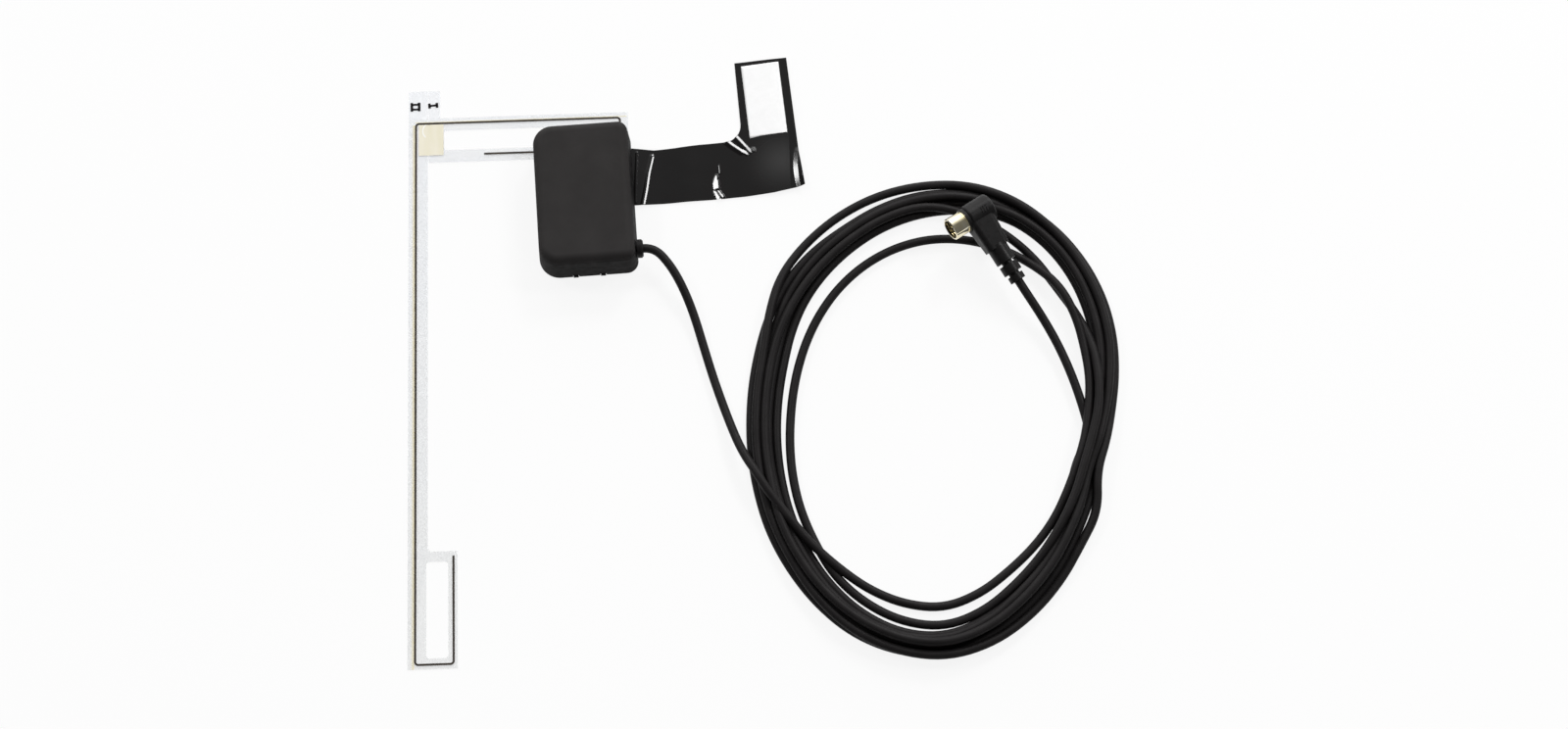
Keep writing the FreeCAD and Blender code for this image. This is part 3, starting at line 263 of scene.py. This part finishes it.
# the turns as (angle, distance from the middle, height), each strand resting on those below it
def layTurns(cord):
    thick = cord["thick"]
    fine = cord["pointsPerStation"]
    turn = fine * len(cord["outline"])
    lanes = [lane for row in cord["lanes"] for lane in row]
    count = fine * (len(lanes) - 1) + 1
    stations = [cord["firstStation"] + i / fine for i in range(count)]
    outside = [eased(cord["outline"], station, ring=True) for station in stations]
    nudges = [cord["nudges"].get(i / fine, 0.0) for i in range(count)]
    wanted = [edge + nudges[i] - thick * (0.5 + eased(lanes, i / fine)) for i, edge in enumerate(outside)]
    reach = list(wanted)
    height = [thick * (0.5 + cord["firstClimb"] * (count - i) / turn) for i in range(count)]
    for settle in range(cord["settleRounds"]):
        pull = 1 if settle < cord["partingFrom"] * cord["settleRounds"] else cord["partingPull"]
        for i in range(count):
            reach[i] += cord["drawIn"] * pull * (wanted[i] - reach[i])
            height[i] -= cord["sink"] * pull * thick
        for i in range(count):
            for j in range(i + turn, count, turn):
                across, up = reach[i] - reach[j], height[i] - height[j]
                gap = math.hypot(across, up) or 0.01
                push = 0.5 * max(0.0, thick - gap) / gap
                reach[i] += cord["sidePush"] * push * across
                reach[j] -= cord["sidePush"] * push * across
                height[i] += push * up
                height[j] -= push * up
        for i in range(1, count - 1):
            height[i] += cord["evenOut"] * pull * (height[i - 1] + height[i + 1] - 2 * height[i])
        height = [max(level, thick / 2) for level in height]
    angles = [station * 2 * math.pi / len(cord["outline"]) for station in stations]
    return zip(angles, reach, height)


def makeCable(cord):
    route = [cord["exit"], *cord["lead"]]
    across, along = cord["middle"]
    for angle, reach, height in layTurns(cord):
        route.append((across + reach * math.cos(angle), along + reach * math.sin(angle), height))
    route += cord["tail"]
    data = bpy.data.curves.new("cable", "CURVE")
    data.dimensions = "3D"
    data.resolution_u, data.bevel_resolution = cord["curveSteps"]
    data.bevel_depth = cord["thick"] / 2 * mm
    data.use_fill_caps = True
    spline = data.splines.new("NURBS")
    spline.points.add(len(route) - 1)
    for point, spot in zip(spline.points, route):
        point.co = (*(Vector(spot) * mm), 1)
    spline.order_u = 3
    spline.use_endpoint_u = True
    return newPiece("cable", data)


def jacketFinish(cord):
    finish = newFinish("cableJacket", cord["jacket"], 0.48, Specular_IOR_Level=0.11)
    drive(finish, mottle(finish, 180, *cord["jacketTones"]), "Base Color")
    drive(finish, mottle(finish, 420, grey(0.42), grey(0.55), span=(0.3, 0.75)), "Roughness")
    addBump(finish, objectGrain(finish, 2600, 2), 0.12, 0.05)
    return finish


jacket = jacketFinish(cable)
cablePiece = makeCable(cable)
cablePiece.data.materials.append(jacket)
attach(cablePiece, "root")
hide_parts("cable_lead", "cable_coil", "cable_tail")
print("cable laid")


# ground sheet: glossy black foil, creased where it was folded, with its lower right end curled up
groundSheet = {
    "origin": (14.327, -0.350),  # mm, like the other lengths here: the strip's lower edge at the box's wall
    "turn": 3.6,
    "thick": 0.15,
    "outline": (
        (-9.0, 4.0), (-0.8, 4.0), (-0.8, -0.3), (12.5, -0.5), (25.0, -0.6), (33.0, -0.6),
        (41.7, -0.2), (51.0, 1.0), (50.2, 11.9), (49.4, 42.3), (33.7, 42.2), (33.7, 17.2),
        (21.0, 17.2), (14.0, 16.8), (7.2, 16.7), (-0.8, 18.0), (-0.8, 14.0), (-9.0, 14.0),
    ),
    "innerCorner": 11,  # place in the outline of the corner under the flag
    "cornerRound": 5.2,
    "cornerSteps": 8,
    "cell": 0.2,
    # height above the floor along the strip, and what the curled end adds to it
    "rises": (
        (-9.0, 0.8), (-0.2, 0.8), (9.5, 0.12), (16.0, 0.4),
        (23.5, 0.1), (33.0, 0.3), (46.0, 0.9), (52.0, 1.0),
    ),
    "curl": ((47.8, 0.0), (48.1, 0.05), (49.6, 0.60), (51.2, 1.7)),
    "curlTop": (11.8, 13.6),  # where the curl starts to fade towards the flag, and ends
    "curlBow": (5.5, 0.018),  # where the curl starts furthest in, and how it bows from there
    # ridges drawn downwards as (along, across) lines, with their height and the width of each flank
    "creases": (
        {"line": ((2.2, 16.3), (1.3, 8.4), (0.5, 0.6)), "high": 0.13, "wide": (0.5, 0.5)},
        {"line": ((6.5, 14.8), (4.9, 9.6), (3.75, 4.4), (2.55, -0.1)), "high": 0.24, "wide": (0.8, 0.8)},
        {"line": ((28.85, 17.35), (30.75, 15.45), (33.05, 13.55)), "high": 0.31, "wide": (0.9, 1.05)},
        {"line": ((31.5, 18.7), (33.4, 16.1), (34.9, 14.0)), "high": 0.32, "wide": (0.9, 1.1)},
    ),
    # flat facets where the foil is crumpled: corners, slope, and height at the middle
    "facets": (
        {
            "corners": ((26.1, 10.6), (25.87, 9.4), (25.95, 7.5), (26.25, 7.4), (26.35, 8.8), (26.25, 10.2)),
            "slope": (0.3, 0.0),
            "high": 0.08,
        },
        {
            "corners": ((24.85, 7.3), (23.95, 4.8), (23.8, 2.6), (25.75, 2.6), (25.65, 4.9), (25.35, 7.1)),
            "slope": (0.33, 0.0),
            "high": 0.38,
        },
        {
            "corners": ((23.7, 2.35), (24.5, -0.6), (25.85, -0.6), (24.75, 2.1)),
            "slope": (0.33, -0.01),
            "high": 0.36,
        },
        {
            "corners": ((24.95, 2.2), (26.1, -0.3), (26.4, -0.6), (27.0, -0.05), (25.65, 2.2)),
            "slope": (0.33, -0.01),
            "high": 0.36,
        },
        {
            "corners": (
                (32.85, 13.6), (34.6, 12.4), (35.4, 12.45), (35.5, 13.0), (34.85, 14.0), (33.8, 14.6),
            ),
            "slope": (-0.21, -0.21),
            "high": 0.05,
        },
        {
            "corners": ((34.6, 14.4), (34.9, 13.6), (35.5, 12.6), (36.1, 13.3), (36.15, 14.0), (35.5, 14.9)),
            "slope": (-0.21, -0.21),
            "high": 0.26,
        },
        {
            "corners": ((36.1, 14.15), (36.5, 13.4), (37.4, 13.4), (37.8, 14.15), (37.4, 14.9), (36.5, 14.9)),
            "slope": (-0.16, -0.17),
            "high": 0.12,
        },
    ),
    # rubbed patch: where it is, how far it reaches, its roughness, and the fold that ends it
    "rubbed": {"middle": (44.5, 9.5), "level": 0.5, "reach": 17.0, "dull": 0.49, "fold": 60.9},
    "label": ((36.1, 17.6), (39.4, 18.1), (47.4, 18.4), (46.9, 41.2), (35.6, 40.9)),
    "labelThick": 0.08,
    "labelCell": 0.9,
    "foil": (0.0030, 0.0024, 0.0024),
    "paper": grey(0.96),
    "paperTones": (grey(0.94), grey(0.98)),
}


def between(knots, at):
    for (low, first), (high, last) in zip(knots, knots[1:]):
        if at <= high:
            part = max(0.0, (at - low) / (high - low))
            return first + (last - first) * part * part * (3 - 2 * part)
    return knots[-1][1]


def straightBetween(knots, at):
    for (low, first), (high, last) in zip(knots, knots[1:]):
        if at <= high:
            return first + (last - first) * max(0.0, (at - low) / (high - low))
    return knots[-1][1]


def creaseRise(crease, spot):
    rises = [0.0]
    for start, end in zip(crease["line"], crease["line"][1:]):
        start, run = Vector(start), Vector(end) - Vector(start)
        part = min(1.0, max(0.0, (spot - start).dot(run) / run.length_squared))
        wide = crease["wide"][run.cross(spot - start) > 0]
        rises.append(crease["high"] * (1 - (start + run * part - spot).length / wide))
    return max(rises)


def facetAt(sheet, spot):
    for facet in sheet["facets"]:
        corners = [Vector(corner) for corner in facet["corners"]]
        sides = zip(corners, corners[1:] + corners[:1])
        if all((end - start).cross(spot - start) >= 0 for start, end in sides):
            return facet
    return None


def sheetRise(sheet, along, across):
    rise = between(sheet["rises"], along)
    low, high = sheet["curlTop"]
    inmost, bow = sheet["curlBow"]
    curled = straightBetween(sheet["curl"], along - bow * (across - inmost) ** 2)
    rise += curled * between(((low, 1.0), (high, 0.0)), across)
    spot = Vector((along, across))
    facet = facetAt(sheet, spot)
    if facet:
        corners = [Vector(corner) for corner in facet["corners"]]
        middle = sum(corners, Vector((0, 0))) / len(corners)
        return rise + facet["high"] + Vector(facet["slope"]).dot(spot - middle)
    return rise + max(creaseRise(crease, spot) for crease in sheet["creases"])


# a flat cut-out, divided into small cells and laid over the rises and creases
def laySheet(name, sheet, outline, cell, lift, thick, rounds):
    shape = bmesh.new()
    corners = [shape.verts.new((*spot, 0)) for spot in outline]
    shape.faces.new(corners)
    for index, radius in rounds.items():
        bmesh.ops.bevel(
            shape,
            geom=[corners[index]],
            affect="VERTICES",
            offset=radius,
            offset_type="OFFSET",
            segments=sheet["cornerSteps"],
            profile=0.5,
            material=-1,
        )
    for axis in (0, 1):
        way = Vector((1 - axis, axis, 0))
        low = min(spot[axis] for spot in outline)
        high = max(spot[axis] for spot in outline)
        for cut in range(1, int((high - low) / cell) + 1):
            everything = [*shape.verts, *shape.edges, *shape.faces]
            bmesh.ops.bisect_plane(shape, geom=everything, plane_co=way * (low + cut * cell), plane_no=way)
    flat = sum(face.calc_area() for face in shape.faces)
    for face in shape.faces:
        found = [facetAt(sheet, vert.co.xy) for vert in face.verts]
        face.smooth = not found[0] or any(facet is not found[0] for facet in found)
    for vert in shape.verts:
        vert.co.z = sheetRise(sheet, vert.co.x, vert.co.y) + lift
    place = Matrix.Translation((*sheet["origin"], 0)) @ Matrix.Rotation(math.radians(sheet["turn"]), 4, "Z")
    bmesh.ops.transform(shape, matrix=Matrix.Scale(mm, 4) @ place, verts=shape.verts)
    piece = meshPiece(name, shape)
    wall = piece.modifiers.new("thickness", "SOLIDIFY")
    wall.thickness = thick * mm
    wall.offset = 1
    return piece, flat * mm * mm


def foilFinish(sheet):
    finish = newFinish("blackFoil", sheet["foil"], 0.13, Specular_IOR_Level=0.5)
    smear = mottle(finish, 130, grey(0.10), grey(0.17), detail=4, span=(0.35, 0.7))
    rubbed = sheet["rubbed"]
    turn = Matrix.Rotation(math.radians(sheet["turn"]), 2)
    middle = turn @ Vector(rubbed["middle"]) + Vector(sheet["origin"])
    fade = finish.node_tree.nodes.new("ShaderNodeMapRange")
    fade.inputs["From Min"].default_value = rubbed["reach"] * mm
    fade.inputs["From Max"].default_value = 0
    fade.inputs["To Max"].default_value = rubbed["dull"]
    finish.node_tree.links.new(distanceFrom(finish, (*middle, rubbed["level"])), fade.inputs["Value"])
    inside = mathNode(finish, "LESS_THAN", objectAxes(finish)["X"], rubbed["fold"] * mm)
    dull = mathNode(finish, "MULTIPLY", fade.outputs["Result"], inside)
    drive(finish, mathNode(finish, "MAXIMUM", smear, dull), "Roughness")
    addBump(finish, objectGrain(finish, 70, 2), 0.12, 0.35)  # slack waves of the foil
    addBump(finish, objectGrain(finish, 900, 2), 0.08, 0.02)
    return finish


def paperFinish(sheet):
    finish = newFinish("labelPaper", sheet["paper"], 0.48, Specular_IOR_Level=0.3)
    drive(finish, mottle(finish, 600, *sheet["paperTones"], detail=4), "Base Color")
    addBump(finish, objectGrain(finish, 1800, 3, (1, 0.4, 1)), 0.03, 0.02)
    return finish


sheetPiece, sheetArea = laySheet(
    "groundSheet",
    groundSheet,
    groundSheet["outline"],
    cell=groundSheet["cell"],
    lift=0.0,
    thick=groundSheet["thick"],
    rounds={groundSheet["innerCorner"]: groundSheet["cornerRound"]},
)
sheetPiece.data.materials.append(foilFinish(groundSheet))
labelPiece = laySheet(
    "blankLabel",
    groundSheet,
    groundSheet["label"],
    cell=groundSheet["labelCell"],
    lift=groundSheet["thick"],
    thick=groundSheet["labelThick"],
    rounds={},
)[0]
labelPiece.data.materials.append(paperFinish(groundSheet))
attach(sheetPiece, "root")
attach(labelPiece, "root")
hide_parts("ground_sheet")
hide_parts("sheet_label")
print("ground sheet laid:", round(sheetArea * 1e6), "square mm")


# film: clear carrier on its two liners, with the printed lines and the beige tape over the corner
film = {
    "clear": (0.86, 0.89, 0.92),
    "clearTones": ((0.82, 0.86, 0.91), (0.90, 0.92, 0.92)),
    "clearCover": 0.05,  # how far it hides what is under it
    # adhesive showing yellow along the print, each band as its middle and half size in mm, and its strength
    "glue": (
        ((-50.88, -59.6), (0.28, 86.9), 1.0),
        ((-51.05, -59.6), (0.45, 86.9), 0.45),
        ((-19.0, 28.08), (31.6, 0.14), 1.0),
    ),
    "glueTone": (0.94, 0.80, 0.34),
    "glueCover": 0.22,
    "liner": (0.87, 0.89, 0.935),
    "linerTones": ((0.83, 0.865, 0.925), (0.90, 0.915, 0.945)),
    "linerCover": 0.3,
    "linerFade": 150,  # mm towards the loop over which its blue is lost
    "linerEnd": (0.78, 0.785, 0.765),
    "print": (0.028, 0.019, 0.011),
    "printTones": ((0.018, 0.012, 0.007), (0.038, 0.026, 0.015)),
    "tape": (0.87, 0.83, 0.67),
    "tapeTones": ((0.82, 0.775, 0.60), (0.88, 0.835, 0.70)),
    # wrinkle in the tape, the left part of a ring, in mm, with a painted white highlight along its fold
    "foldAndHighlight": {"middle": (-45.6, 25.3, 0.36), "radius": 2.68, "half": 0.15, "leftOf": -47.4},
    "paintedFoldHighlight": (0.98, 0.98, 0.96),
}


def glueEdges(finish, edges):
    axes = objectAxes(finish)
    bands = []
    for middle, half, strength in edges:
        inside = [mathNode(finish, "COMPARE", axes[i], middle[i] * mm, half[i] * mm) for i in (0, 1)]
        bands.append(mathNode(finish, "MULTIPLY", mathNode(finish, "MULTIPLY", *inside), strength))
    mask = bands[0]
    for band in bands[1:]:
        mask = mathNode(finish, "MAXIMUM", mask, band)
    return mask


def filmFinish(layers):
    finish = newFinish("clearFilm", layers["clear"], 0.16, IOR=1.48)
    cloud = mottle(finish, 45, *layers["clearTones"])
    glue = glueEdges(finish, layers["glue"])
    drive(finish, tint(finish, glue, cloud, layers["glueTone"]), "Base Color")
    drive(finish, mathNode(finish, "MULTIPLY_ADD", glue, layers["glueCover"], layers["clearCover"]), "Alpha")
    drive(finish, mottle(finish, 350, grey(0.26), grey(0.36)), "Roughness")
    addBump(finish, objectGrain(finish, 110, 3), 0.06, 0.12)
    return finish


def linerFinish(layers):
    finish = newFinish("releaseLiner", layers["liner"], 0.45, Alpha=layers["linerCover"])
    cloud = mottle(finish, 60, *layers["linerTones"])
    fade = mathNode(finish, "MULTIPLY", objectAxes(finish)["Y"], -1 / (layers["linerFade"] * mm))
    lost = mathNode(finish, "MAXIMUM", fade, 0.0)
    drive(finish, tint(finish, lost, cloud, layers["linerEnd"]), "Base Color")
    addBump(finish, objectGrain(finish, 1500, 2, (1, 0.3, 1)), 0.03, 0.02)
    return finish


def printFinish(layers):
    finish = newFinish("bronzePrint", layers["print"], 0.42, Metallic=0.2)
    drive(finish, mottle(finish, 320, *layers["printTones"], detail=4), "Base Color")
    addBump(finish, objectGrain(finish, 2600, 2), 0.2, 0.02)
    return finish


def tapeFinish(layers):
    finish = newFinish("cornerTape", layers["tape"], 0.62, Specular_IOR_Level=0.3)
    fibre = objectGrain(finish, 420, 4, (1, 0.18, 1))
    beige = ramp(finish, fibre, zip((0.3, 0.72), layers["tapeTones"]))
    bend = layers["foldAndHighlight"]
    away = distanceFrom(finish, bend["middle"])
    ring = mathNode(finish, "COMPARE", away, bend["radius"] * mm, bend["half"] * mm)
    left = mathNode(finish, "LESS_THAN", objectAxes(finish)["X"], bend["leftOf"] * mm)
    foldAndHighlight = mathNode(finish, "MULTIPLY", ring, left)
    # the white along the fold is a painted highlight, laid over the tape's beige; the bump below is the fold
    # itself
    drive(finish, tint(finish, foldAndHighlight, beige, layers["paintedFoldHighlight"]), "Base Color")
    addBump(finish, fibre, 0.25, 0.03)
    addBump(finish, foldAndHighlight, 0.4, 0.05)
    return finish


dress(filmFinish(film), "carrier_film")
dress(linerFinish(film), "liner_one", "liner_two")
dress(printFinish(film), "main_element", "short_element")
dress(tapeFinish(film), "corner_tape")


# peel order on the liner's two tabs, as plain serifed numerals lying on their sides
numerals = {
    "level": 0.15,  # mm, the liner's top
    "ink": 0.02,
    "marks": (
        {"middle": (-50.5, 33.2), "stems": (-0.76, 0.76), "wide": 3.0, "tall": 2.8, "turn": 1.0},
        {"middle": (-45.2, 33.5), "stems": (0.0,), "wide": 3.05, "tall": 1.6, "turn": 4.0},
    ),
    "stem": 0.68,
    "serif": 0.8,
}


def inkBar(shape, middle, wide, tall, turn, place, ink):
    made = bmesh.ops.create_cube(shape, size=1.0)["verts"]
    bmesh.ops.scale(shape, vec=(wide, tall, ink), verts=made)
    bmesh.ops.translate(shape, vec=(*middle, 0), verts=made)
    bmesh.ops.rotate(shape, matrix=Matrix.Rotation(math.radians(turn), 3, "Z"), verts=made)
    bmesh.ops.translate(shape, vec=place, verts=made)


def printNumerals(marks):
    shape = bmesh.new()
    for mark in marks["marks"]:
        place = (*mark["middle"], marks["level"] + marks["ink"] / 2)
        reach = mark["wide"] - marks["serif"]
        for stem in mark["stems"]:
            inkBar(shape, (0, stem), reach, marks["stem"], mark["turn"], place, marks["ink"])
        for side in (-1, 1):
            edge = (side * reach / 2, 0)
            inkBar(shape, edge, marks["serif"], mark["tall"], mark["turn"], place, marks["ink"])
    bmesh.ops.scale(shape, vec=(mm, mm, mm), verts=shape.verts)
    return meshPiece("peelNumerals", shape)


def inkFinish():
    finish = newFinish("numeralInk", grey(0.005), 0.5, Specular_IOR_Level=0.2)
    drive(finish, mottle(finish, 1500, grey(0.003), grey(0.009), span=(0.3, 0.75)), "Base Color")
    return finish


numeralPiece = printNumerals(numerals)
numeralPiece.data.materials.append(inkFinish())
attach(numeralPiece, "root")
print("film dressed")


# box: moulded cover and base, foam pad, and what is inside
box = {
    "housing": (0.028, 0.026, 0.026),
    "housingTones": ((0.0270, 0.0252, 0.0250), (0.0325, 0.0305, 0.0302)),
    "shadedWallTop": 11.2,  # mm, where the painted shade on the walls ends
    "paintedWallShade": (0.0085, 0.0078, 0.0078),
    "foamCells": 2200,
    "mask": (0.03, 0.16, 0.07),
    "maskTones": ((0.022, 0.125, 0.055), (0.038, 0.19, 0.085)),
    "chipTones": (grey(0.012), grey(0.022)),
    "ferriteTones": (grey(0.05), grey(0.085)),
    "ceramicTones": ((0.36, 0.27, 0.17), (0.5, 0.4, 0.27)),
    "springTones": ((0.62, 0.48, 0.2), (0.83, 0.68, 0.36)),
}


def housingFinish(parts):
    finish = newFinish("mouldedHousing", parts["housing"], 0.68, Specular_IOR_Level=0.08)
    cloud = mottle(finish, 120, *parts["housingTones"], detail=5)
    # the walls below this height get a painted shade, darker than the top, standing in for less light on them
    wall = mathNode(finish, "LESS_THAN", objectAxes(finish)["Z"], parts["shadedWallTop"] * mm)
    drive(finish, tint(finish, wall, cloud, parts["paintedWallShade"]), "Base Color")
    drive(finish, mottle(finish, 500, grey(0.6), grey(0.74)), "Roughness")
    addBump(finish, objectGrain(finish, 2300, 2), 0.3, 0.05)
    return finish


def foamFinish(parts):
    finish = newFinish("padFoam", grey(0.02), 0.85, Specular_IOR_Level=0.2)
    tree = finish.node_tree
    cells = tree.nodes.new("ShaderNodeTexVoronoi")
    cells.inputs["Scale"].default_value = parts["foamCells"]
    tree.links.new(objectPlace(finish), cells.inputs["Vector"])
    poreDepthAndShade = cells.outputs["Distance"]
    # the pores are painted darker where they sink deeper, as shade in them; the same values shape the bump
    drive(finish, ramp(finish, poreDepthAndShade, ((0.0, grey(0.008)), (0.6, grey(0.034)))), "Base Color")
    addBump(finish, poreDepthAndShade, 0.6, 0.1)
    return finish


def boardFinish(parts):
    finish = newFinish("solderMask", parts["mask"], 0.3, Coat_Weight=0.4)
    drive(finish, mottle(finish, 900, *parts["maskTones"]), "Base Color")
    addBump(finish, objectGrain(finish, 1600, 2), 0.15, 0.03)
    return finish


def blockFinish(name, dark, pale, roughness):
    finish = newFinish(name, dark, roughness)
    drive(finish, mottle(finish, 1300, dark, pale), "Base Color")
    addBump(finish, objectGrain(finish, 3000, 2), 0.2, 0.02)
    return finish


def metalFinish(name, dark, pale, roughness):
    finish = newFinish(name, pale, roughness, Metallic=1.0)
    drive(finish, mottle(finish, 260, dark, pale, detail=4, span=(0.3, 0.65)), "Base Color")
    worn = mottle(finish, 800, grey(roughness * 0.7), grey(roughness * 1.5), span=(0.3, 0.75))
    drive(finish, worn, "Roughness")
    addBump(finish, objectGrain(finish, 2400, 2), 0.08, 0.02)
    return finish


dress(housingFinish(box), "amp_cover", "amp_base")
dress(foamFinish(box), "amp_pad")
dress(boardFinish(box), "amp_board")
dress(blockFinish("chipPackage", *box["chipTones"], 0.5), "amplifier_chip")
dress(blockFinish("coilFerrite", *box["ferriteTones"], 0.6), "filter_coils")
dress(blockFinish("chipCeramic", *box["ceramicTones"], 0.45), "chip_capacitors")
spring = metalFinish("contactSpring", *box["springTones"], 0.25)
dress(spring, "main_contact", "short_contact", "ground_contact")
dress(jacket, "cable_grommet", "cable_end")
print("box dressed")


# plug: satin moulding round a plated barrel
plug = {
    "moulding": (0.008, 0.0074, 0.0075),
    "mouldingTones": ((0.0066, 0.0061, 0.0062), (0.0094, 0.0087, 0.0088)),
    "barrelTones": ((0.80, 0.69, 0.41), (0.95, 0.90, 0.73)),
    "sleeveTones": ((0.72, 0.64, 0.45), (0.90, 0.85, 0.70)),
    "insulatorTones": ((0.024, 0.022, 0.020), (0.04, 0.037, 0.033)),
}


def mouldingFinish(parts):
    finish = newFinish("plugMoulding", parts["moulding"], 0.36, Specular_IOR_Level=0.19)
    drive(finish, mottle(finish, 240, *parts["mouldingTones"]), "Base Color")
    drive(finish, mottle(finish, 900, grey(0.3), grey(0.46)), "Roughness")
    addBump(finish, objectGrain(finish, 1900, 2), 0.18, 0.04)
    return finish


dress(mouldingFinish(plug), "plug_body")
dress(metalFinish("barrelPlating", *plug["barrelTones"], 0.09), "plug_shell")
dress(metalFinish("sleevePlating", *plug["sleeveTones"], 0.2), "plug_fingers", "plug_contact")
dress(blockFinish("plugInsulator", *plug["insulatorTones"], 0.4), "plug_insulator")
print("plug dressed")


# floor and light
studio = {
    "floorSide": 6.0,  # m
    "floorDrop": 0.1,  # mm below the part
    "paper": 0.9,
    "floorGlow": 0.88,  # share of the floor that is plain white to the eye
    # sky from the south to the north horizon, as (place, level)
    "sky": ((0.0, 0.12), (0.62, 0.17), (0.74, 0.6), (0.86, 1.7), (1.0, 2.2)),
}


def makeFloor(light):
    shape = bmesh.new()
    bmesh.ops.create_grid(shape, x_segments=1, y_segments=1, size=light["floorSide"] / 2)
    bmesh.ops.translate(shape, verts=shape.verts, vec=(0, 0, -light["floorDrop"] * mm))
    floor = meshPiece("studioFloor", shape)
    finish = bpy.data.materials.new("whitePaper")
    finish.use_nodes = True
    tree = finish.node_tree
    tree.nodes.clear()
    paper = tree.nodes.new("ShaderNodeBsdfDiffuse")
    paper.inputs["Color"].default_value = (*grey(light["paper"]), 1)
    white = tree.nodes.new("ShaderNodeEmission")
    path = tree.nodes.new("ShaderNodeLightPath").outputs
    seen = mathNode(finish, "MAXIMUM", path["Is Camera Ray"], path["Is Glossy Ray"])
    through = mathNode(finish, "MAXIMUM", seen, path["Is Transmission Ray"])
    blend = tree.nodes.new("ShaderNodeMixShader")
    output = tree.nodes.new("ShaderNodeOutputMaterial")
    tree.links.new(mathNode(finish, "MULTIPLY", through, light["floorGlow"]), blend.inputs["Fac"])
    tree.links.new(paper.outputs[0], blend.inputs[1])
    tree.links.new(white.outputs[0], blend.inputs[2])
    tree.links.new(blend.outputs[0], output.inputs["Surface"])
    floor.data.materials.append(finish)


lamps = {
    "keyLeft": {"from": (-0.745, 0.464, 0.955), "side": 0.19, "watts": 3.4},
    "backRight": {"from": (0.386, 0.992, 0.824), "side": 0.26, "watts": 5.2},
    "highRight": {"from": (0.774, 0.414, 0.953), "side": 0.22, "watts": 3.7},
    "lowRight": {"from": (0.55, -0.53, 0.90), "side": 0.16, "watts": 0.6},
}


def hangLamps(lamps, aim):
    for name, lamp in lamps.items():
        data = bpy.data.lights.new(name, "AREA")
        data.size = lamp["side"]
        data.energy = lamp["watts"]
        piece = newPiece(name, data)
        piece.location = Vector(lamp["from"]) + aim
        piece.rotation_euler = (aim - piece.location).to_track_quat("-Z", "Y").to_euler()


def lightWorld(sky):
    world = bpy.data.worlds.new("studioAir")
    world.use_nodes = True
    tree = world.node_tree
    way = tree.nodes.new("ShaderNodeTexCoord")
    axes = tree.nodes.new("ShaderNodeSeparateXYZ")
    north = tree.nodes.new("ShaderNodeMapRange")
    north.inputs["From Min"].default_value = -1
    path = tree.nodes.new("ShaderNodeLightPath")
    tree.links.new(way.outputs["Generated"], axes.inputs[0])
    tree.links.new(axes.outputs["Y"], north.inputs["Value"])
    glow = ramp(world, north.outputs["Result"], [(place, grey(level)) for place, level in sky])
    seen = tint(world, path.outputs["Is Camera Ray"], glow, (1, 1, 1))
    tree.links.new(seen, tree.nodes["Background"].inputs["Color"])
    bpy.context.scene.world = world
    bpy.context.scene.view_settings.view_transform = "Standard"


makeFloor(studio)
hangLamps(lamps, Vector(cameraView["aim"]) * mm)
lightWorld(studio["sky"])
print("floor and lamps placed")
